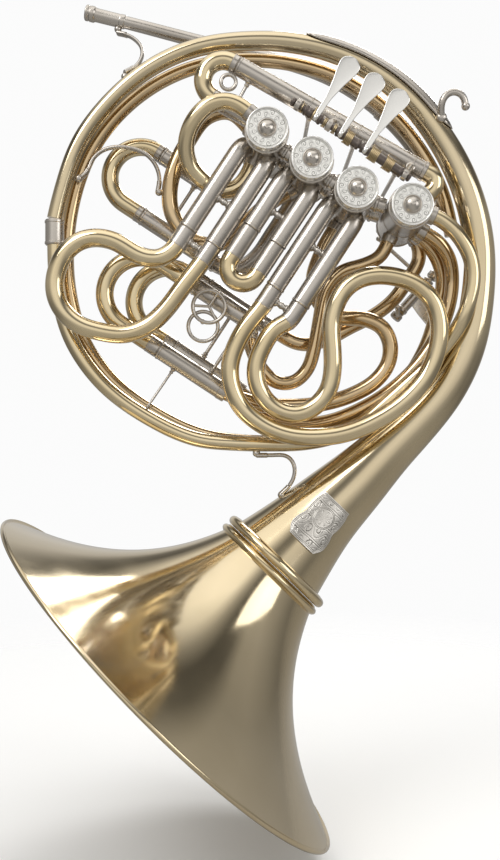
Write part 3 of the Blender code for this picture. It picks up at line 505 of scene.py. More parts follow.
def flare_radius(distance):
    """Ring radius times (focus / (focus - distance)) to the flare power."""
    return RING_RADIUS * (BELL_FOCUS / (BELL_FOCUS - distance)) ** FLARE_POWER


stations = BELL_LENGTH * (1 - (1 - np.linspace(0.0, 1.0, 90)) ** 1.5)
outer_wall = np.stack([flare_radius(stations), stations], axis=1)
inner_wall = outer_wall[::-1] - [SHEET, -0.1]
inner_wall[-1, 1] = 0.0
bead = np.radians(np.linspace(-60, 215, 14))[:, None]
rim_bead = [RIM_RADIUS - 0.4, BELL_LENGTH + 0.1] + 1.7 * np.concatenate([np.cos(bead), np.sin(bead)], axis=1)
profile = np.concatenate([outer_wall[:-2], rim_bead, inner_wall[3:], outer_wall[:1]])
piece("bell", "bell", ["bell_flare"],
      [(turned(profile, RING_CENTRE, BELL_AXIS, 200), BELL_BRASS)])

# %% The two halves of the bell ring
# each bead is given as its distance outside the ring's radius, then its height
RING_BEAD = [(-0.2, 0.2), (2.2, 0.2), (2.6, 1.0), (4.2, 1.5), (5.3, 2.8), (5.4, 4.4), (4.4, 5.8), (3.2, 6.4),
             (2.6, 6.9), (0.6, 6.9), (0.4, 4.0)]
TAIL_BEAD = [(-0.5, -0.2), (2.6, -0.2), (4.2, -0.9), (5.2, -2.4), (5.4, -4.0), (4.6, -5.8), (2.8, -6.9), (1.0, -7.2),
             (-0.6, -7.6), (-1.8, -7.4), (-1.2, -0.9)]
for name, body, node_name, bead, rounding in (("bell_ring_bead", "bell", "bell_ring", RING_BEAD, 0.9),
                                              ("tail_ring_bead", "horn_body", "tail_ring", TAIL_BEAD, 0.7)):
    piece(name, body, [node_name],
          [(spun(np.add(bead, [RING_RADIUS, 0.0]), rounding, RING_CENTRE, BELL_AXIS, 160), BRASS)])

# %% [markdown]
# ## The bell tail
# The long cone from the outer loop to the bell is one tapering tube. Its radius is set at each knot of
# its path and interpolated between them. It is hollow where the bell comes off, so the wall turns inwards
# at the ring and runs back up the throat.

# %% Bell tail
TAIL = [  # x, z, depth, radius
    (-139.0, 150.5, 0, 5.5), (-134, 171, 0, 5.5), (-122, 205, 0, 5.6), (-98, 236, 0, 5.8), (-71, 258, 0, 6.0),
    (-36, 273, 0, 6.2), (-4, 277, 0, 6.5), (36, 275, 0, 7.0), (71, 265, 0, 7.7), (105, 244, 0, 8.7),
    (133, 212, 0, 9.6), (154, 172, 0, 10.3), (163, 134, 0, 10.7), (162, 93, 0, 11.5), (154, 57, 0, 12.8),
    (139, 28, 2.0, 14.2), (118, 4, 4.2, 16.4), (97, -16, 5.8, 19.0), (77, -36, 6.4, 23.0)]
THROAT = [(47.0, 28.0), (24.0, 33.0), (9.0, 36.8), (0.6, RING_RADIUS - 0.7)]  # before the ring, radius
tail_knots = np.concatenate([drawn([(x, z, depth) for x, z, depth, r in TAIL]),
                             [RING_CENTRE - BELL_AXIS * distance * MM for distance, r in THROAT]])
tail_path = curve(tail_knots, start=(0.12, 0, 1.0), end=BELL_AXIS, width=6.0)
knot_reach = distance_along(tail_knots)
tail_reach = np.linspace(0.0, knot_reach[-1], len(tail_path))
tail_radii = np.interp(tail_reach, knot_reach, [p[3] for p in TAIL] + [r for distance, r in THROAT])
tail_radii = blurred(tail_radii[:, None], 8.0)[:, 0]


def tail_places(first, last, count):
    """Points and radii of the tail between two fractions of its length."""
    share = np.linspace(first, last, count)
    spots = np.linspace(0, 1, len(tail_path))
    return (np.stack([np.interp(share, spots, tail_path[:, k]) for k in range(3)], axis=1),
            np.interp(share, spots, tail_radii))


TAIL_SIDES, THROAT_SHARE = 72, 0.22
skin = swept(tail_path, tail_radii, sides=TAIL_SIDES, caps=False)["points"]
hub = skin[:, :-1].mean(axis=1, keepdims=True)
inner = hub + (skin - hub) * ((tail_radii - SHEET) / tail_radii)[:, None, None]
depth_inside = int(len(tail_path) * THROAT_SHARE)
rows = np.concatenate([np.repeat(hub[:1], TAIL_SIDES + 1, axis=1), skin, inner[:-depth_inside:-1],
                       np.repeat(hub[-depth_inside][None], TAIL_SIDES + 1, axis=1)])
shape = surface(rows, distance_along(rows[:, 0]), np.linspace(0, 0.12, TAIL_SIDES + 1))
piece("bell_tail_cone", "horn_body", ["bell_tail"], [(shape, BELL_BRASS)])

# %% [markdown]
# ## Plates on the tail
# A thin nickel guard keeps the left hand off the lacquer, and an engraved shield decorates the throat.
# Both are sheets bent round the tube: an angle goes round it and a distance goes along it, and the
# outline is drawn in those two numbers. The ornament is a plain scroll, worked out as a height.

# %% Bent sheets and the scroll ornament
def bent_sheet(path, radii, angles, lift):
    """Point = path + (radius + lift) (cos(a) outward + sin(a) front); angles may differ on each row."""
    outward = unit(np.cross(-BACK, unit(np.gradient(path, axis=0))))
    turn = np.radians(angles)
    reach = (radii[:, None] + lift) * MM
    points = (path[:, None] + (reach * np.cos(turn))[..., None] * outward[:, None]
              - (reach * np.sin(turn))[..., None] * BACK)
    return points, distance_along(path)


def scroll(u, v):
    """0 on plain metal, 1 in a cut line: a wavy vine with a spiral leaf in each bend.

    u counts repeats along the band and v runs from 0 to 1 across it. The vine is v = 0.5 + 0.30 sin(2 pi u).
    A leaf is the spiral where 3.4 r - turn is a whole number, about the middle of each bend.
    """
    cell = (2 * u) % 1.0 - 0.5
    side = np.where((2 * u) % 2.0 < 1.0, -1.0, 1.0)
    across_leaf = v - 0.5 - side * 0.16
    radius = np.hypot(cell * 1.15, across_leaf * 1.3)
    turn = np.arctan2(across_leaf, cell * side) / (2 * np.pi)
    spiral = np.abs((radius * 3.4 - turn) % 1.0 - 0.5) * 2
    leaf = np.clip((spiral - 0.62) * 6, 0, 1) * (radius < 0.44) * (radius > 0.07)
    vine = np.clip(1.4 - np.abs(v - 0.5 - 0.30 * np.sin(2 * np.pi * u)) * 26, 0, 0.35)
    edges = np.clip(1.5 - np.minimum(np.abs(v - 0.06), np.abs(v - 0.94)) * 48, 0, 1)
    return np.clip(leaf + vine + edges, 0, 1)


def medallion(x, y):
    """The shield's ornament in millimetres: a double border, a ring with a rosette, and scrolls around it.

    The rosette is the curve r = 5.2 |cos 4a|, drawn where the radius is within half a millimetre.
    """
    radius, turn = np.hypot(x, y - 4.0), np.arctan2(y - 4.0, x)
    inside = np.minimum(SHIELD_HALF - np.abs(x), SHIELD_LENGTH / 2 - np.abs(y))
    border = np.clip(1.6 - np.minimum(np.abs(inside - 1.0), np.abs(inside - 1.9)) * 4.5, 0, 1)
    ring = np.clip(1.6 - np.minimum(np.abs(radius - 7.6), np.abs(radius - 6.7)) * 4.5, 0, 1)
    rosette = np.clip(1.4 - np.abs(radius - 5.2 * np.abs(np.cos(4 * turn))) * 3.0, 0, 1) * (radius < 6.0)
    leaves = scroll(x / 13.0, (y / 12.0) % 1.0) * (radius > 8.3) * (inside > 2.6)
    return np.clip(border + ring + rosette + leaves, 0, 1)


ENGRAVED_NICKEL = metal("engraved nickel", (0.74, 0.71, 0.66), (0.68, 0.65, 0.60), (0.22, 0.34), 0.05,
                        engraved=(0.14, 0.13, 0.11))
SHIELD_DEPTH, SHIELD_HALF, SHIELD_LENGTH, SHIELD_TOP = 0.12, 13.5, 37.0, 64.0
SHIELD_ROWS, SHIELD_COLUMNS = 220, 180
shield_reach = np.linspace(SHIELD_TOP, SHIELD_TOP - SHIELD_LENGTH, SHIELD_ROWS)
shield_path = RING_CENTRE - BELL_AXIS * shield_reach[:, None] * MM
shield_radii = np.interp(shield_reach, [24.0, 47.0, 62.0], [33.0, 28.0, 25.2])
v = np.linspace(0, 1, SHIELD_ROWS)[:, None]
half_angle = 27 * (1 - 0.10 * np.cos(np.pi * (2 * v - 1)) ** 4 - 0.22 * np.clip(v - 0.75, 0, 1) ** 2 * 16)
u = np.linspace(-1, 1, SHIELD_COLUMNS)[None, :]
cut = medallion(SHIELD_HALF * u + 0 * v, SHIELD_LENGTH * (0.5 - v) + 0 * u)
sheet, along = bent_sheet(shield_path, shield_radii, 90 + u * half_angle, 1.9 - cut * SHIELD_DEPTH)
piece("throat_shield", "horn_body", ["nameplate"],
      [(surface(sheet, along, np.linspace(0, 0.025, SHIELD_COLUMNS), cut), ENGRAVED_NICKEL)], wall=0.6, sharp=60)

# %% Hand guard and little-finger hook
GUARD_FROM, GUARD_TO, GUARD_ROWS, GUARD_COLUMNS = 0.335, 0.50, 120, 40
guard_path, guard_radii = tail_places(GUARD_FROM, GUARD_TO, GUARD_ROWS)
v = np.linspace(-1, 1, GUARD_ROWS)[:, None]
span = 72 * (1 - 0.5 * np.abs(v) ** 9)
u = np.linspace(-1, 1, GUARD_COLUMNS)[None, :]
closing = 1.9 - 1.35 * np.maximum(np.abs(u), np.abs(v)) ** 14
sheet, along = bent_sheet(guard_path, guard_radii, u * span, closing)
hook = curve(drawn([(134.4, 219.5, -9.8), (133.5, 227, -13), (136, 233, -14), (142, 236, -14), (148.5, 233, -14),
                    (150.5, 226, -13)]), width=1.5)
piece("guard", "horn_body", ["hand_guard"],
      nickel(surface(sheet, along, np.linspace(0, 0.03, GUARD_COLUMNS)), swept(hook, 2.1, 1.7), ball(hook[-1], 2.7),
             ball(hook[0], 3.4, squash=0.6)), wall=0.6)

# %% [markdown]
# ## Valves
# A rotary valve is a short drum in a casing. The cap in front is screwed on and engraved, and the back
# has a bearing plate, a collar on the rotor's shaft with a stop arm, and two cork stops. The cap is a
# polar grid: its rows run outwards, and the ornament is cut into the flat band as a real depth.

# %% Engraved valve caps
CAP_RADIUS, CAP_FACE, CAP_BACK = 14.4, -39.0, -32.3
BAND_INNER, BAND_OUTER = 6.5, 12.6
CAP_COLUMNS, CUT_DEPTH, REPEATS = 360, 0.12, 7


def cap_surfaces(centre):
    """The cap in three rings: polished boss, engraved band, polished rim. Heights are depths from the valve."""
    boss = [(0.0, -42.6), (1.3, -42.5), (1.8, -42.0), (2.4, -41.8), (3.6, -41.2), (4.7, -40.3), (5.4, -39.4),
            (5.6, -39.1), (5.9, -39.5), (6.2, -39.4), (BAND_INNER, -39.0)]
    rim = [(BAND_OUTER, CAP_FACE), (BAND_OUTER + 0.1, -38.3), (13.0, -38.3), (13.1, -39.4), (13.5, -39.6),
           (14.1, -39.5), (CAP_RADIUS, -39.0), (CAP_RADIUS, -37.4), (14.1, -37.1), (14.1, -36.7),
           (CAP_RADIUS, -36.4), (CAP_RADIUS, -33.0), (14.2, CAP_BACK), (0.0, CAP_BACK)]
    v = np.linspace(0, 1, 46)
    band = np.stack([BAND_INNER + (BAND_OUTER - BAND_INNER) * v, np.full(46, CAP_FACE)], axis=1)
    u = np.linspace(0, REPEATS, CAP_COLUMNS + 1)
    cut = scroll(u[None, :] + 0 * v[:, None], v[:, None] + 0 * u[None, :])
    face = turned(band, centre, BACK, CAP_COLUMNS, cut)
    face["points"] += (cut * CUT_DEPTH * MM)[..., None] * BACK
    return [(turned(softened(boss, 0.35), centre, BACK, CAP_COLUMNS), NICKEL), (face, FROSTED),
            (turned(softened(rim, 0.18, 3), centre, BACK, CAP_COLUMNS), PLATED)]


for valve in range(4):
    piece("cap_%d" % (valve + 1), "horn_body", ["valve_cap_%d" % (valve + 1)],
          cap_surfaces(at(0, 0, 0, valve)), sharp=28)

# %% Casings with their flanges and the short tubes between them
CASING = [(0.0, -31.9), (14.9, -31.9), (15.3, -31.5), (15.3, -29.6), (14.7, -29.2), (14.7, -3.2), (15.0, -3.0),
          (15.0, -2.2), (14.7, -2.0), (14.7, 27.0), (15.3, 27.4), (15.3, 29.6), (14.9, 30.0), (0.0, 30.0)]
for valve in range(4):
    parts = nickel(turned(softened(CASING, 0.4), at(0, 0, 0, valve), BACK, 96))
    if valve < 3:
        gap = np.subtract(VALVES[valve + 1], VALVES[valve])
        toward = gap / np.linalg.norm(gap)
        for depth in (-13.0, 14.0):
            ends = [at(*(toward * reach), depth, valve) for reach in (13.0, np.linalg.norm(gap) - 15.3)]
            tube = straight(*ends, 1.0)
            parts += nickel(swept(tube, 5.6), collar(tube, 3.6, 2.4, 6.5))
    piece("casing_%d" % (valve + 1), "horn_body", ["valve_casing_%d" % (valve + 1)], parts)

# %% Bearing plates with cork stops, and the collars on the rotor shafts
PLATE = [(2.9, 30.3), (14.0, 30.3), (14.4, 30.8), (14.4, 32.6), (13.8, 33.2), (12.6, 33.3), (12.3, 32.8),
         (9.0, 32.8), (8.7, 33.3), (7.4, 33.4), (6.9, 34.3), (2.9, 34.3)]
COLLAR = [(2.9, 34.6), (5.2, 34.6), (5.5, 35.0), (5.5, 39.6), (4.6, 40.1), (4.6, 43.6), (5.4, 44.1), (5.4, 47.8),
          (4.6, 48.8), (2.9, 48.8)]
CORK_PLUG = [(0, 32.5), (2.3, 32.5), (2.4, 36.6), (2.0, 37.2), (0, 37.2)]
CORK_CUP = [(0, 32.4), (3.1, 32.4), (3.1, 34.2), (2.7, 34.6), (0, 34.6)]
ARM_DEPTH = 36.1
SCREW = [(0.0, 49.6), (1.6, 49.5), (2.4, 49.0), (2.5, 48.2), (2.5, 47.0), (0.0, 47.0)]
for valve in range(4):
    centre = at(0, 0, 0, valve)
    parts = nickel(spun(PLATE, 0.3, centre, BACK, 72))
    for down in (-8.0, 8.0):
        stop = at(-8.6, down, 0, valve)
        parts += [(turned(CORK_PLUG, stop, BACK, 20), CORK), (turned(CORK_CUP, stop, BACK, 24), NICKEL)]
    piece("back_plate_%d" % (valve + 1), "horn_body", ["bearing_plate_%d" % (valve + 1)], parts)
    arm = straight(at(-3.6, 0, ARM_DEPTH, valve), at(-13.6, 0, ARM_DEPTH, valve), 1.0)
    parts = [(spun(COLLAR, 0.35, centre, BACK, 48), NICKEL), (turned(softened(SCREW, 0.3), centre, BACK, 28), STEEL),
             (swept(arm, [2.6, 1.9, 1.5], 1.2), NICKEL),
             (ball(at(-13.2, 0, ARM_DEPTH, valve), 1.9, BACK, 0.8), NICKEL)]
    piece("shaft_collar_%d" % (valve + 1), "rotor_%d" % (valve + 1), ["stop_arm_%d" % (valve + 1)],
          parts)

# %% Rotors keep their CAD shape and get the look of turned brass
for valve in range(4):
    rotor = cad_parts["rotor_%d" % (valve + 1)]
    for slot_of in rotor.material_slots:
        slot_of.material = ROTOR
print("rotors dressed")

# %% [markdown]
# ## Front slides
# Each valve has a slide in front: two nickel sleeves fixed to the casing, and a bow with two legs that
# runs in them. A fine joint line shows where the bow's ferrule meets the sleeve. The third slide and the
# first have bows bent into long loops, so that more tube fits inside the horn.

# %% Front sleeves
LEG_SIDE, FRONT = 10.5, -20.0
SLEEVE, LEG, BOW = 6.6, 5.5, 6.4
LEG_ENDS = [83.0, 58.7, 84.5]
LEG_PULL = 34.0
SLEEVE_POSTS = [54.0, 41.0, 46.5]
POST_REACH = LEG_SIDE - SLEEVE + 0.5


def sleeve_with_lip(path):
    """A sleeve with a shallow bead at its mouth, which is the path's last end."""
    return nickel(swept(path, SLEEVE), collar(path, -1.2, 2.0, SLEEVE + 0.35))


def collar_at_end(path, length, radius):
    """A ferrule that covers the last millimetres of a path."""
    return swept(even(stretch(path, -length, -0.05), 0.8), radius, bevel=0.4)


def knobbed_post(ends):
    """A turned post between two tubes, with a round knob in the middle of its waist."""
    return nickel(post(*ends, 1.6, 3.2), ball((ends[0] + ends[1]) / 2, 2.5, ROW, 0.85))


for index in range(3):
    parts = []
    for side in (-1, 1):
        top = softened([at(side * 8.2, 11.0, -12.0, index), at(side * LEG_SIDE, 15.5, FRONT, index),
                        at(side * LEG_SIDE, 34.0, FRONT, index)], 0.0075, 12)
        line = even(np.concatenate([top, [at(side * LEG_SIDE, LEG_ENDS[index], FRONT, index)]]), 1.2)
        parts += nickel(swept(line, SLEEVE, guide=ROW), collar_at_end(line, 2.2, SLEEVE + 0.3))
    parts += knobbed_post([at(side * POST_REACH, SLEEVE_POSTS[index], FRONT, index) for side in (-1, 1)])
    name = "slide_%d_sleeves" % (index + 1)
    piece("front_sleeves_%d" % (index + 1), "horn_body", [name], parts)

# %% Front slide bows
FIRST_BOW = [(-55, 122), (-63, 118), (-73, 119), (-95, 131), (-107, 133), (-119, 130), (-128, 122), (-134, 109),
             (-135, 95), (-130, 83), (-119, 73), (-104, 68), (-86, 66), (-70, 72), (-59, 82), (-47, 98)]
THIRD_BOW = [(-3, 71), (-10, 58), (-14, 45), (-13, 31), (-7, 17), (6, 5), (24, -3), (45, -5), (67, -2), (88, 7),
             (107, 20), (121, 36), (129, 54), (131, 72), (127, 88), (117, 99), (104, 105), (91, 107), (77, 105),
             (66, 98), (59, 86), (56, 72), (57, 55), (57, 40), (54, 27), (46, 17), (35, 11), (23, 12), (12, 19),
             (5, 31), (4, 45), (9, 58), (18, 71)]
FERRULES = [13.0, 22.0, 14.0]
BOW_EXITS = [92.0, 82.7, 97.5]
BAR_REACH = [7.5, 0.0, 7.5]


def bow_parts(path, tops, ferrule):
    """Nickel ferrules on both ends of a brass bow, and the two thin legs that run inside the sleeves."""
    tube = swept(stretch(path, ferrule - 0.2, -ferrule + 0.2), BOW)
    ferrules = [swept(stretch(path, *reach), SLEEVE - 0.03) for reach in ((0.0, ferrule), (-ferrule, -0.0001))]
    rings = [collar(way, ferrule, 1.4, SLEEVE + 0.12) for way in (path, path[::-1])]
    legs = [swept(straight(top, mouth + unit(mouth - top) * MM, 2.0), LEG)
            for top, mouth in zip(tops, (path[0], path[-1]))]
    return [(tube, BRASS)] + nickel(*ferrules, *rings, *legs)


for index in range(3):
    mouths = [at(side * LEG_SIDE, LEG_ENDS[index] + 0.35, FRONT, index) for side in (-1, 1)]
    exits = [at(side * LEG_SIDE, BOW_EXITS[index], FRONT, index) for side in (-1, 1)]
    if index == 1:
        centre = at(0, LEG_ENDS[1] + 26, FRONT, 1)
        bend = arc(centre, -ROW * LEG_SIDE * MM, DOWN * LEG_SIDE * MM, 0, 180)
        path = even(np.concatenate([[mouths[0]], bend, [mouths[1]]]))
    else:
        knots = np.concatenate([[exits[0]], drawn(FIRST_BOW if index == 0 else THIRD_BOW, FRONT), [exits[1]]])
        bend = curve(knots, start=DOWN, end=-DOWN)
        path = blurred(even(np.concatenate([[mouths[0]], bend, [mouths[1]]])), 1.5)
    tops = [at(side * LEG_SIDE, LEG_ENDS[index] - LEG_PULL, FRONT, index) for side in (-1, 1)]
    parts = bow_parts(path, tops, FERRULES[index])
    if BAR_REACH[index]:
        parts += knobbed_post([at(side * POST_REACH, LEG_ENDS[index] + BAR_REACH[index], FRONT, index)
                               for side in (-1, 1)])
    name = "slide_%d" % (index + 1)
    piece("front_bow_%d" % (index + 1), name, [name], parts)

# %% [markdown]
# ## Back slides
# Three more slides lie behind, in line with the row of valves, and pull out to the left. The lower front
# one carries two finger rings, because it is the one that is emptied and tuned most often.

# %% Back sleeves and bows
BACK_SLIDES = {
    "side_slide": dict(lines=(134.0, 88.5), depth=24.2, bow_at=-169.5, mouths=(-165, -153), ends=(-126, -90),
                       post_at=32, ferrule=3.6),
    "lower_front_slide": dict(lines=(65.0, 12.5), depth=6.0, bow_at=-119.0, mouths=(-90, -86), ends=(-34, -34),
                              post_at=44, ferrule=8.0),
    "lower_back_slide": dict(lines=(71.0, 20.0), depth=22.0, bow_at=-101.5, mouths=(-84, -80), ends=(-26, -26),
                             post_at=26, ferrule=8.0),
}
SIDE_FEEDS = [(-127, [(-112, 136), (-104.5, 146)]), (-91, [(-73, 93), (-66.5, 106), (-65.4, 130)])]
BACK_PULL = 26.0


def back_bow_path(lines, depth, bow_at, mouths):
    """Out of one mouth, half a circle, and back into the other."""
    radius = (lines[0] - lines[1]) / 2
    middle = across(bow_at, (lines[0] + lines[1]) / 2, depth)
    bend = arc(middle, -DOWN * radius * MM, -ROW * radius * MM, 0, 180)
    ends = [across(mouth - 0.35, line, depth) for mouth, line in zip(mouths, lines)]
    return even(np.concatenate([ends[:1], bend, ends[1:]]))


RING_WIRE = 1.35


def finger_ring(middle, radius, spokes):
    """A round wire bent into a closed hoop, with three spokes inside where spokes is true.

    Point = middle + (radius + wire cos(b)) outward + wire sin(b) depth; the last row is the same as the first.
    """
    loop = arc(middle, ROW * radius * MM, DOWN * radius * MM, 0, 360, 72)[:-1]
    outward = unit(loop - loop.mean(axis=0))
    turn = np.linspace(0, 2 * np.pi, 17)
    wire = np.cos(turn)[None, :, None] * outward[:, None] + np.sin(turn)[None, :, None] * BACK
    points = loop[:, None] + RING_WIRE * MM * wire
    points = np.concatenate([points, points[:1]])
    parts = nickel(surface(points, np.linspace(0, 0.07, len(points)), turn * 0.0013))
    for angle in (30, 150, 270) if spokes else ():
        out = ROW * math.cos(math.radians(angle)) + DOWN * math.sin(math.radians(angle))
        parts += nickel(swept(straight(middle, middle + out * radius * MM, 1.0), 1.0, sides=16))
    return parts


for name, layout in BACK_SLIDES.items():
    lines, depth, mouths = layout["lines"], layout["depth"], layout["mouths"]
    parts = []
    for side, (line, mouth, end) in enumerate(zip(lines, mouths, layout["ends"])):
        parts += sleeve_with_lip(straight(across(end, line, depth), across(mouth, line, depth), 2.0))
        if name == "side_slide":
            start, bends = SIDE_FEEDS[side]
            knots = [across(*spot, depth) for spot in [(start, line)] + bends] + [at(0, 14.0, 21.0, side)]
            path = curve(knots, start=ROW, end=-DOWN)
            parts += nickel(swept(path, 6.2), collar(path, 1.5, 2.4, 7.0), collar_at_end(path, 4.5, 6.9))
    post_at, inset = mouths[0] + layout["post_at"], SLEEVE - 0.6
    ends = [across(post_at, lines[0] - inset, depth), across(post_at, lines[1] + inset, depth)]
    parts += nickel(post(*ends, 1.3, 2.8))
    if name == "lower_front_slide":
        parts += nickel(post(across(-70, lines[1] - inset, depth), drawn([(-74.5, 14.5)], 1.5)[0], 0.9, 2.2))
    piece(name + "_tubes", "horn_body", [name + "_sleeves"], parts)

    path = back_bow_path(lines, depth, layout["bow_at"], mouths)
    tops = [across(mouth + BACK_PULL, line, depth) for mouth, line in zip(mouths, lines)]
    parts = bow_parts(path, tops, layout["ferrule"])
    if name == "lower_front_slide":
        parts += finger_ring(across(-72, 57, -6.0), 11.5, True) + finger_ring(across(-68, 43, -4.0), 10.5, False)
        stem = curve([across(-82.5, 58, -6.0), across(-90, 61, -4.0), across(-95, 64.5, 3.0)], width=1.0)
        pin = straight(across(-70, 45.7, -6.6), across(-70, 45.3, -3.2), 1.0)
        parts += nickel(swept(stem, 1.5), swept(pin, 1.6, guide=ROW))
    piece(name + "_bow", name, [name], parts)

# %% Main tuning slide
TUNING_TILT = math.radians(29.6)
TUNING = np.array([math.cos(TUNING_TILT), 0.0, -math.sin(TUNING_TILT)])
TUNING_SIDE = np.array([-math.sin(TUNING_TILT), 0.0, -math.cos(TUNING_TILT)])
TUNING_MOUTH, TUNING_DEPTH, TUNING_GAP = (-8.4, 254.0), -13.1, 28.0
mouths = [drawn([TUNING_MOUTH], TUNING_DEPTH)[0]]
mouths.append(mouths[0] + TUNING_SIDE * TUNING_GAP * MM)
parts = []
for mouth, length in zip(mouths, (150.0, 27.0)):
    parts += sleeve_with_lip(straight(mouth + TUNING * length * MM, mouth, 2.0))
inset, post_at = TUNING_SIDE * (SLEEVE - 0.6) * MM, TUNING * 12 * MM
inward = unit([0.72, 0.0, 0.69])
elbow = curve(np.concatenate([[mouths[0] + TUNING * 146 * MM, mouths[0] + TUNING * 149 * MM],
                              drawn([(129.5, 175.0), (128.5, 168.0)], TUNING_DEPTH),
                              [at(0, 0, TUNING_DEPTH, 3) + inward * 14.0 * MM]]),
              start=TUNING, end=-inward, width=2.0)
sleeve_line = straight(mouths[0], mouths[0] + TUNING * 150 * MM)
parts += nickel(post(mouths[0] + post_at + inset, mouths[1] + post_at - inset, 1.2, 2.6))
parts += [(swept(elbow, 6.3), BRASS)] + nickel(collar(elbow, 3.0, 3.2, 7.1), collar_at_end(elbow, 5.0, 7.0))
parts += nickel(*[collar(sleeve_line, reach, 1.6, SLEEVE + 0.3) for reach in (58.0, 96.0, 140.0)])
piece("tuning_tubes", "horn_body", ["tuning_slide_sleeves"], parts)

radius = TUNING_GAP / 2
middle = (mouths[0] + mouths[1]) / 2 - TUNING * 4 * MM
bend = arc(middle, -TUNING_SIDE * radius * MM, -TUNING * radius * MM, 0, 180)
path = even(np.concatenate([[mouths[0] - TUNING * 0.35 * MM], bend, [mouths[1] - TUNING * 0.35 * MM]]))
parts = bow_parts(path, [mouths[0] + TUNING * 34 * MM, mouths[1] + TUNING * 25 * MM], 3.4)
parts += finger_ring(drawn([(-15.0, 242.0)], TUNING_DEPTH - 2.0)[0], 5.2, False)
piece("tuning_bow", "tuning_slide", ["tuning_slide"], parts)

# %% [markdown]
# ## Fixed tubing
# The mouthpiece goes into a tapered nickel socket. Behind it, the leadpipe widens slowly and ends at the
# change valve, and long brass branches go round the horn from there. Every tube is the same swept
# circle, so they are listed once with their knots, and a loop makes them. A nickel ferrule covers each
# soldered joint, and each tube runs a little into its casing so that no gap shows.

# %% Mouthpiece receiver and leadpipe
LEAD_TILT = math.radians(14)
LEAD = np.array([math.cos(LEAD_TILT), 0.0, -math.sin(LEAD_TILT)])
LEAD_MOUTH = place([-121.0, 24.0, 308.0])
RECEIVER = [(4.45, 0.3), (4.7, 0.0), (5.3, 0.0), (5.7, 0.4), (5.7, 2.2), (5.35, 2.5), (5.35, 3.3), (5.7, 3.6),
            (5.7, 6.6), (5.2, 7.2), (4.9, 7.8), (4.85, 26.0), (5.1, 26.4), (5.1, 29.2), (4.8, 30.0), (3.0, 30.0),
            (4.1, 22.0)]
CASING_SIDE = 13.5


def leaving(x, z, depth, valve=3):
    """A place on a casing's side and the direction that leads straight out from it."""
    side = unit([x, 0.0, z])
    return at(0, 0, depth, valve) + side * CASING_SIDE * MM, side


piece("receiver_socket", "horn_body", ["mouthpiece_receiver"],
      nickel(spun(RECEIVER, 0.3, LEAD_MOUTH, LEAD, 64)))
lead_route = [(-52, 290.5), (-33, 285.5), (-14, 280), (22, 272.5), (58, 260), (98, 233), (124, 203), (137, 178),
              (140, 165)]
lead_end, lead_side = leaving(0.95, 0.31, 24.0)
lead_path = curve(np.concatenate([[LEAD_MOUTH + LEAD * 28 * MM], drawn(lead_route, 24.5), [lead_end]]),
                  start=LEAD, end=-lead_side, width=4.0)
piece("lead_tube", "horn_body", ["leadpipe"],
      nickel(swept(lead_path, [4.5, 4.8, 5.0, 5.0, 5.0, 5.0]), collar(lead_path, 60.0, 5.0, 4.9),
             collar(lead_path, 205.0, 7.0, 5.7), collar_at_end(lead_path, 6.0, 5.9)))

# %% Branches and crooks
outer_start, outer_side = leaving(0.99, -0.1, -17.0)
inner_start, inner_side = leaving(0.8, -0.6, 1.0)
back_start, back_side = leaving(0.76, -0.65, 12.6)
front_top = leaving(-0.6, 0.8, -26.3, 0)[0]
front_low, front_low_side = leaving(-0.6, -0.8, -2.5, 0)
crook_top = leaving(-0.6, 0.8, 8.0, 0)[0]
crook_low, crook_low_side = leaving(-0.8, -0.6, 8.0, 1)
change_low, change_low_side = leaving(-0.55, -0.84, 6.0)
change_back, change_back_side = leaving(0.8, -0.6, 24.4)

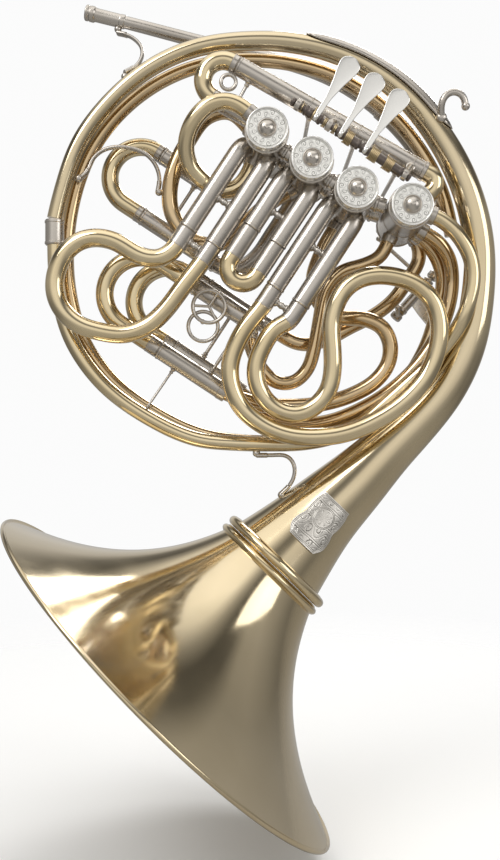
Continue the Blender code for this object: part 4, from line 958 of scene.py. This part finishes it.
# name: node, first place, depth of a knot that gives none, knots, last place, start direction,
# end direction, radius, and the ferrules' radii at both ends
TUBES = {
    "outer_loop": ("outer_branch", outer_start, 0,
                   [(139, 141, -17), (148, 130, -17), (153, 120, -17), (155, 107, -17), (153, 93, -17),
                    (149, 80, -17), (141, 65, -11.5), (128, 48, -5.5), (110, 31, -4), (95, 17.5, -2), (80, 5),
                    (62, -4), (40, -9), (14, -10), (-10, -9.5), (-36, -7), (-73, 9), (-108, 36), (-127, 64),
                    (-137, 100), (-139, 136)],
                   drawn([(-139.0, 150.0)])[0], outer_side, (0, 0, 1), 5.4, (6.4, 0)),
    "inner_loop": ("inner_branch", inner_start, 12,
                   [(135, 134, 3), (144, 122, 8), (146.5, 109), (145, 94), (141, 80), (132, 62), (118, 43),
                    (100, 27), (80, 15), (56, 6, 14), (32, 4.5, 17), (13, 9.5, 20), (1, 20, 22)],
                   across(-26.4, 20.0, 22.0), inner_side, -ROW, 5.2, (6.1, 7.0)),
    "back_loop": ("back_branch", back_start, 12,
                   [(131, 133, 15), (139, 121, 20), (142, 106, 23.5), (139, 92, 25), (130, 62, 26),
                    (112, 32, 26), (85, 5, 22), (50, -8, 15.5), (15, -9, 12.6), (-36, -3), (-73, 15),
                    (-103, 39), (-121, 66), (-131, 102), (-131.5, 145), (-127, 170), (-116, 200), (-94, 230),
                    (-68, 250.5), (-36, 264), (-4, 268), (32, 265), (64, 255), (96, 234), (122, 205),
                    (140, 170), (147, 141)],
                   None, back_side, None, 5.0, (5.9, 5.9)),
    "front_bend": ("front_crook", front_top, -26.3,
                   [(-16, 225), (-27, 223), (-37, 214.5, -25), (-43, 204, -21.5), (-44.5, 193, -17),
                    (-41, 183, -12), (-33, 175, -8.5), (-22, 169, -5), (-10, 171, -3), (-2, 180, -2.5)],
                   front_low, (-0.72, 0, 0.69), -front_low_side, 5.8, (6.6, 6.6)),
    "back_bend": ("back_crook", crook_top, 8,
                   [(-16, 230), (-31, 226), (-44, 209), (-54, 190), (-58, 172), (-57, 158), (-51, 146),
                    (-41, 136), (-26, 133), (-10, 142), (6, 157), (18, 166.5)],
                   crook_low, (-0.72, 0, 0.69), -crook_low_side, 5.8, (6.6, 6.6)),
    "inner_bend": ("inner_crook", change_low, 6,
                   [(93, 124), (80, 118), (66, 114), (55, 102), (50, 80), (46, 58), (41, 43), (31, 34),
                    (19, 34), (9, 43), (2, 56)],
                   across(-39.0, 60.0, 6.0), change_low_side, -DOWN, 5.0, (5.9, 5.9)),
    "lower_bend": ("lower_crook", at(0, 14.0, 18.0, 2), 6,
                   [(52, 129, 18), (46, 108, 18), (51, 92, 18), (64, 82, 14), (83, 80, 8), (95, 74), (101, 61),
                    (99, 47), (90, 35), (75, 26), (57, 20), (41, 17.5), (24, 17), (8, 18), (-6, 22)],
                   across(-34.6, 12.5, 6.0), DOWN, -ROW, 5.6, (6.5, 7.0)),
    "return_bend": ("return_crook", change_back, 26,
                   [(125.5, 128), (116, 110), (106, 96), (92, 85), (74, 76), (55, 66, 25), (38, 63, 23)],
                   across(-26.6, 71.0, 22.0), change_back_side, -ROW, 5.2, (6.0, 7.0)),
}
for name, (node_name, first, depth, knots, last, start, end, radius, ferrules) in TUBES.items():
    places = [[first], drawn(knots, depth)] + ([[last]] if last is not None else [])
    path = curve(np.concatenate(places), start=start, end=end)
    # The front bend and the outer loop get the lacquered brass. Every other tube gets the darker copy, which is
    # painted shade.
    parts = [(swept(path, radius), BRASS if name in ("front_bend", "outer_loop") else SHADED_BRASS)]
    if ferrules[0]:
        parts += nickel(collar(path, 3.6, 6.0, ferrules[0]))
    if ferrules[1]:
        parts += nickel(collar_at_end(path, 6.0, ferrules[1]))
    if name == "outer_loop":
        seat = straight(*drawn([(-139.0, 131.5), (-139.0, 149.5)]), 0.8)
        parts += nickel(swept(seat, 6.7), collar(seat, 1.5, 2.2, 7.1), collar(seat, 16.4, 2.2, 7.1))
    piece(name, "horn_body", [node_name], parts)

# %% [markdown]
# ## Levers
# Three spatulas turn on one rod beside the valves. Each is a thin teardrop plate, a little domed, on a
# narrow stem, and a barrel on the rod. A wire arm goes back through the horn to the rotor's collar, and a
# coil spring on the rod brings the lever up again. The plate is a flat bar with rounded edges, carried
# along a line, with a width that follows the teardrop.

# %% Bridge, posts, rod and springs
ROD_SIDE, ROD_DEPTH = -24.4, -38.0


def along_rod(reach, side=ROD_SIDE, depth=ROD_DEPTH):
    """A place given along the hinge rod, square to it, and in depth."""
    return at(reach, side, depth)


BEAM_SIDE, BEAM_DEPTH = -28.4, -29.0
FOOT_DISC = [(0, 0), (3.2, 0), (3.5, 0.5), (3.2, 1.2), (2.2, 1.8), (0, 1.8)]
EYE = [(2.3, -1.9), (3.6, -1.9), (4.0, -1.5), (4.0, 1.5), (3.6, 1.9), (2.3, 1.9)]
beam = straight(along_rod(7.0, BEAM_SIDE, BEAM_DEPTH), along_rod(96.9, BEAM_SIDE, BEAM_DEPTH))
parts = nickel(swept(beam, 2.6, 1.2))
for reach, foot in ((9.0, -32.4), (34.0, -34.0), (94.6, -37.4)):
    knee = along_rod(reach, BEAM_SIDE, BEAM_DEPTH)
    stem = softened([along_rod(reach), knee, along_rod(reach, foot, -20.2)], 0.004, 8)
    parts += nickel(swept(even(stem, 1.0), [1.7, 1.9, 2.4], guide=ROW), ball(knee, 3.0),
                    turned(FOOT_DISC, along_rod(reach, foot + 0.3, -19.6), [0, -1, 0.3], 24),
                    spun(EYE, 0.3, along_rod(reach), ROW, 32))
piece("bridge", "horn_body", ["lever_bridge"], parts)

LEVER_STEMS = [23.8, 43.9, 63.5]
LEVER_ARMS = [18.15, 54.45, 88.5]


def coil(start, axis, side, turns, radius=3.3, wire=0.42, pitch=1.15, per_turn=26):
    """A helix: start + radius (cos(a) side + sin(a) depth) + pitch a / 2 pi along the axis."""
    turn = np.linspace(0, 2 * np.pi * turns, int(turns * per_turn))[:, None]
    helix = side * radius * np.cos(turn) + BACK * radius * np.sin(turn) + axis * pitch * turn / (2 * np.pi)
    return swept(start + helix * MM, wire, guide=axis, sides=10, bevel=0.1)


ROD = [(0.0, -1.4), (1.9, -1.3), (3.0, -0.6), (3.1, 0.8), (2.6, 1.4), (2.0, 1.6), (2.0, 91.4), (2.7, 91.9),
       (2.8, 93.2), (1.8, 94.0), (0.0, 94.1)]
parts = [(turned(softened(ROD, 0.25), along_rod(5.0), ROW, 32), STEEL)]
for start, turns in ((11.6, 1.5), (29.2, 2.0), (37.0, 2.0)):
    parts.append((coil(along_rod(start), ROW, DOWN, turns), SPRING))
for start, turns in ((20.6, 1.0), (46.9, 5.0), (66.6, 6.0), (78.4, 6.0)):
    parts.append((coil(along_rod(start), ROW, DOWN, turns, 4.45, 0.45, 1.05), SPRING))
    leg = [along_rod(start + shift, ROD_SIDE - side, ROD_DEPTH + depth)
           for shift, side, depth in ((0.0, 3.2, -3.2), (-0.3, 7.4, 4.0), (-0.3, 6.8, 11.0))]
    parts.append((swept(even(softened(leg, 0.002, 6), 1.0), 0.45, guide=ROW, sides=10, bevel=0.1), SPRING))
piece("lever_rod", "horn_body", ["hinge_rod"], parts)

# %% Levers with their wire arms
PAD_SHARE = [0.0, 0.02, 0.1, 0.35, 0.6, 0.77, 0.87, 0.935, 0.972, 0.992, 1.0]
PAD_WIDTH = [1.2, 1.8, 1.8, 2.1, 4.3, 6.5, 7.3, 6.8, 5.4, 3.5, 1.8]
BAR_OFFSET, BAR_DEPTH, WIRE = 9.0, 46.0, 1.5
PAD_LENGTH, PAD_START, PAD_RISE, PAD_DOME = 48.8, -3.1, -3.4, 0.3
EDGE_POWER, FACE_POWER = 0.9, 0.35
ARM_GUIDE = ROW + 0.2 * DOWN
NUT = [(0, -1.2), (1.9, -1.2), (2.1, -0.9), (2.1, 0.9), (1.9, 1.2), (0, 1.2)]


def flat_sweep(path, wide, thick, side):
    """A flat bar with rounded edges: side w c |c|^(p-1), depth t s |s|^(p-1), c and s being cos and sin.

    The power p is small for the depth, so the two faces are nearly flat and only the edges are round.
    """
    turn = np.linspace(0, 2 * np.pi, 65)
    c, s = np.cos(turn), np.sin(turn)
    across_bar, through = np.sign(c) * np.abs(c) ** EDGE_POWER, np.sign(s) * np.abs(s) ** FACE_POWER
    take = np.concatenate([[0, 0], np.arange(1, len(path) - 1), [len(path) - 1] * 2])
    path, wide = path[take], np.asarray(wide)[take] * MM
    thick = np.full(len(take), thick * MM)
    wide[[0, -1]] = thick[[0, -1]] = 0.0
    points = (path[:, None] + (wide[:, None] * across_bar)[..., None] * unit(side)
              + (thick[:, None] * through)[..., None] * BACK)
    return surface(points, distance_along(path), turn * 0.005)


for index in range(3):
    stem, arm = LEVER_STEMS[index], LEVER_ARMS[index]
    low, high = min(stem, arm) - 3.8, max(stem, arm) + 3.8
    span = high - low
    sleeve = [(2.35, 0), (3.2, 0), (3.7, 0.4), (3.7, 1.6), (3.3, 2.0), (3.3, 3.2), (3.6, 3.5), (3.6, 5.6), (3.2, 6.0),
              (3.2, span - 2.2), (3.7, span - 1.8), (3.7, span - 0.4), (3.3, span), (2.35, span)]
    share = np.linspace(0, 1, 60)
    reach = PAD_LENGTH * share + PAD_START
    rise = PAD_RISE - PAD_DOME * np.sin(np.pi * share)
    pad_path = along_rod(stem) + (-DOWN * reach[:, None] + BACK * rise[:, None]) * MM
    pad_width = blurred(np.interp(share, PAD_SHARE, PAD_WIDTH)[:, None], 1.5)[:, 0]
    bar = VALVES[index][0] + (BAR_OFFSET if arm > VALVES[index][0] + BAR_OFFSET else arm)
    tip = along_rod(bar, 4.0, BAR_DEPTH)
    corners = [along_rod(arm, ROD_SIDE, ROD_DEPTH + 2.8), along_rod(arm, ROD_SIDE, BAR_DEPTH - 4),
               along_rod(arm - 2, ROD_SIDE + 1.5, BAR_DEPTH - 1), along_rod(bar + 1.5, ROD_SIDE + 7, BAR_DEPTH),
               along_rod(bar, ROD_SIDE + 9, BAR_DEPTH), tip]
    wire = even(softened(corners, 0.003, 8), 1.2)
    parts = [(flat_sweep(pad_path, pad_width, 0.75, ROW), PLATED),
             (spun(sleeve, 0.3, along_rod(low), ROW, 40), STEEL),
             (ball(along_rod(stem, ROD_SIDE + 1.4, ROD_DEPTH - 4.0), 1.9, DOWN, 1.5), PLATED),
             (swept(wire, WIRE, guide=ARM_GUIDE), NICKEL), (collar(wire, 3.0, 3.0, 2.6, ARM_GUIDE), NICKEL),
             (ball(tip + DOWN * MM, 2.0, DOWN), NICKEL),
             (turned(NUT, along_rod(bar, ROD_SIDE + 14, BAR_DEPTH), DOWN, 24), STEEL)]
    name = "lever_%d" % (index + 1)
    piece("spatula_%d" % (index + 1), name, [name], parts)

# %% Thumb lever and its bracket
THUMB_AXIS = np.array([0.674, 0.0, 0.739])
THUMB_SIDE = np.array([-0.739, 0.0, 0.674])
THUMB_MIDDLE = np.array([124.5, 43.0, 101.0])


def thumb(along, side, depth):
    """A place in the thumb lever's own directions: along its rod, square to it, and in depth."""
    return place(THUMB_MIDDLE + THUMB_AXIS * along + THUMB_SIDE * side + BACK * depth)


THUMB_REACH = 17.5
BARREL = [(2.45, 0), (3.8, 0), (4.2, 0.4), (4.2, 2.4), (3.7, 2.9), (3.7, 29.1), (4.2, 29.6), (4.2, 31.6), (3.8, 32),
          (2.45, 32)]
KNOBBED_ROD = [(0, -22.8), (3.6, -22.6), (4.4, -21.8), (4.4, -18.4), (3.6, -17.2), (2.0, -17.0), (2.0, 18.5),
               (3.6, 18.7), (4.4, 19.6), (4.4, 23.4), (3.6, 24.4), (0, 24.6)]
share = np.linspace(0, 1, 40)
reach, rise = 2.4 + 27.6 * share, 1.2 * np.sin(np.pi * share)
pad_path = thumb(0, 0, 2.6) + (-THUMB_SIDE * reach[:, None] + BACK * rise[:, None]) * MM
pad_width = np.interp(share, [0, 0.3, 0.7, 0.9, 0.97, 1.0], [5.5, 7.2, 8.8, 7.6, 6.0, 3.5])
corners = [thumb(14, 0, 3.0), thumb(14, 0, 10), thumb(15, 2, 12.5), thumb(THUMB_REACH, 10, 13),
           thumb(THUMB_REACH, 50, 13)]
wire = even(softened(corners, 0.003, 8), 1.2)
piece("thumb_key", "thumb_lever", ["thumb_lever"],
      [(flat_sweep(pad_path, pad_width, 0.8, THUMB_AXIS), PLATED)]
      + nickel(spun(BARREL, 0.3, thumb(-15, 0, 0), THUMB_AXIS, 40),
               swept(wire, WIRE, guide=THUMB_AXIS + 0.3 * THUMB_SIDE), ball(wire[-1], 2.0, THUMB_SIDE)))
foot = even(softened([thumb(-19.6, 0, -0.6), thumb(-19.6, 0, -5), thumb(-16, 5, -11.3)], 0.002, 6), 1.0)
piece("thumb_rod", "horn_body", ["thumb_bracket"],
      nickel(turned(softened(KNOBBED_ROD, 0.4), thumb(0, 0, 0), THUMB_AXIS, 36), swept(foot, 1.8, guide=THUMB_AXIS))
      + [(coil(thumb(-16.6, 0, 0), THUMB_AXIS, THUMB_SIDE, 2, 3.2, 0.35, 0.6, 30), SPRING)])

# %% [markdown]
# ## Braces
# Flat nickel strips in S shapes tie the leadpipe, the loops and the bell tail together, so that the horn
# doesn't twist. Each ends in a small foot that is soldered to the tube.

# %% Strip braces
BRACES = {
    "receiver_strip": ("receiver_brace", [(-98, 292.8, 24), (-90, 290, 21), (-83, 284, 16), (-78, 276, 11),
                                          (-78, 267, 7), (-82, 260, 4), (-90, 254.5, 1)],
                       [(-97.4, 295.6, 24), (-89.2, 251.9, 1)]),
    "left_strip": ("left_brace", [(-121.5, 180, 2.6), (-117, 184, 4), (-114, 193, 5), (-106, 201, 6), (-95, 203.5, 6),
                                  (-83, 202, 6), (-73, 197, 6), (-67, 189, 7), (-65, 180, 8), (-66.6, 171, 8)],
                   [(-122.4, 179.6, 2.2), (-65.6, 171.4, 8)]),
    "bottom_strip": ("bottom_brace", [(4, -18, 0), (17, -18, 0), (26, -18, 0), (31, -23, 0), (32, -31, 0),
                                      (29, -38.5, 0), (21.8, -45.6, 0)],
                     [(4.6, -16.5, 0), (22.4, -46.2, 0)]),
}
FOOT_RADIUS = 2.7
for name, (node_name, knots, feet) in BRACES.items():
    path = curve(drawn(knots), width=2.0)
    pads = [swept(even(end, 0.8), 1.8, 2.9, sides=24, bevel=0.8)
            for end in (stretch(path, 0.0, 9.0), stretch(path, -9.0, -0.01))]
    piece(name, "horn_body", [node_name],
          nickel(swept(path, 1.45, 1.9, sides=24), *pads, *[ball(foot, FOOT_RADIUS, DOWN) for foot in drawn(feet)]))

# %% [markdown]
# ## Floor, light and camera
# Polished metal shows its surroundings, so the light is mostly what the horn reflects. A plain room of
# one brightness would make brass look like plastic. Here the surroundings are bright overhead and at
# the horizon, with a darker band between them, and three soft lamps add long highlights.

# %% Pale floor
FLOOR_RADIUS, FLOOR_DROP = 1.6, 0.018
FLOOR_RINGS, FLOOR_SIDES = 24, 96
# point = radius share (cos(a), sin(a)) at one height; the share's power of 1.5 makes the middle finer
share = np.linspace(0, 1, FLOOR_RINGS)[:, None] ** 1.5
turn = np.linspace(0, 2 * np.pi, FLOOR_SIDES + 1)
floor_height = np.full((FLOOR_RINGS, FLOOR_SIDES + 1), cad_box[0][2] - FLOOR_DROP)
disc = np.stack([FLOOR_RADIUS * share * np.cos(turn), FLOOR_RADIUS * share * np.sin(turn), floor_height], axis=-1)
floor_mesh = bpy.data.meshes.new("floor")
floor_mesh.from_pydata(disc.reshape(-1, 3).tolist(), [], grid_faces(*floor_height.shape)[:, [0, 3, 2, 1]].tolist())
floor = add_object("floor", floor_mesh)
paint, tree, shader = new_finish("pale floor")
seen = node(tree, "LightPath").outputs["Is Camera Ray"]
shade = node(tree, "Mix", {"Factor": seen, "A": (0.40, 0.39, 0.37, 1.0), "B": (0.94, 0.94, 0.93, 1.0)},
             data_type="RGBA")
distance = node(tree, "VectorMath", {0: object_places(tree)}, operation="LENGTH").outputs["Value"]
feed(tree, shader, {"Roughness": 0.9, "Base Color": shade.outputs["Result"],
                    "Alpha": spread(tree, distance, 1.0, 0.0, 0.30, 0.95)})
floor_mesh.materials.append(paint)

# %% Surroundings and lamps
world = bpy.context.scene.world or bpy.data.worlds.new("studio")
bpy.context.scene.world = world
world.use_nodes = True
tree = world.node_tree
tree.nodes.clear()
split = node(tree, "SeparateXYZ", {"Vector": node(tree, "TexCoord").outputs["Generated"]}).outputs
# share of the height from straight down to straight up, then the brightness there
LEVELS = [(0.0, 0.45), (0.40, 0.50), (0.50, 0.78), (0.60, 0.98), (0.69, 0.90), (0.75, 0.30), (0.81, 0.20),
          (0.86, 0.60), (0.91, 1.35), (1.0, 1.45)]
stops = [(position, (level, level * 0.985, level * 0.96)) for position, level in LEVELS]
colour = ramped(tree, spread(tree, split["Z"], 0.0, 1.0, -1.0, 1.0), stops)
sideways = node(tree, "Math", {0: split["X"]}, operation="ABSOLUTE").outputs["Value"]
strength = node(tree, "Math", {0: spread(tree, sideways, 1.0, 0.45, 0.40, 0.85),
                               1: spread(tree, split["Y"], 1.0, 0.66, -0.2, 0.7)}, operation="MULTIPLY")
room = node(tree, "Background", {"Color": colour, "Strength": strength.outputs["Value"]}).outputs["Background"]
plain = node(tree, "Background", {"Color": (0.97, 0.97, 0.97, 1.0), "Strength": 1.0}).outputs["Background"]
mix = node(tree, "MixShader", {"Fac": node(tree, "LightPath").outputs["Is Camera Ray"], 1: room, 2: plain})
node(tree, "OutputWorld", {"Surface": mix.outputs["Shader"]})


def lamp(name, where, power, size):
    """A soft square lamp that faces the middle of the horn."""
    data = bpy.data.lights.new(name, "AREA")
    data.energy, data.size = power, size
    forward = -unit(where)
    right = unit(np.cross(forward, [0, 0, 1.0]))
    turn = np.eye(4)
    turn[:3, :3] = np.stack([right, np.cross(right, forward), -forward], axis=1)
    turn[:3, 3] = where
    add_object(name, data).matrix_world = Matrix(turn.tolist())


lamp("key", (-0.9, -1.1, 1.3), 11.0, 0.9)
lamp("fill", (1.3, -0.9, 0.5), 4.0, 0.8)
lamp("rim", (0.4, 1.2, 1.1), 10.0, 0.6)
print("lamps", len(bpy.data.lights))

# %% Camera at the player's side, level with the middle of the horn
LENS, SENSOR = 38.8, 36.0
camera_data = bpy.data.cameras.new("camera")
camera_data.lens, camera_data.sensor_width = LENS, SENSOR
camera_data.clip_start = 0.01
camera = add_object("camera", camera_data)
eye = place([0.0, -660.0, 0.0])
camera.matrix_world = Matrix([[1, 0, 0, eye[0]], [0, 0, -1, eye[1]], [0, 1, 0, eye[2]], [0, 0, 0, 1]])
bpy.context.scene.camera = camera
bpy.context.scene.view_settings.view_transform = "Standard"

# %% Sizes, then finish
print("pieces", len(pieces), "faces", sum(pieces.values()))
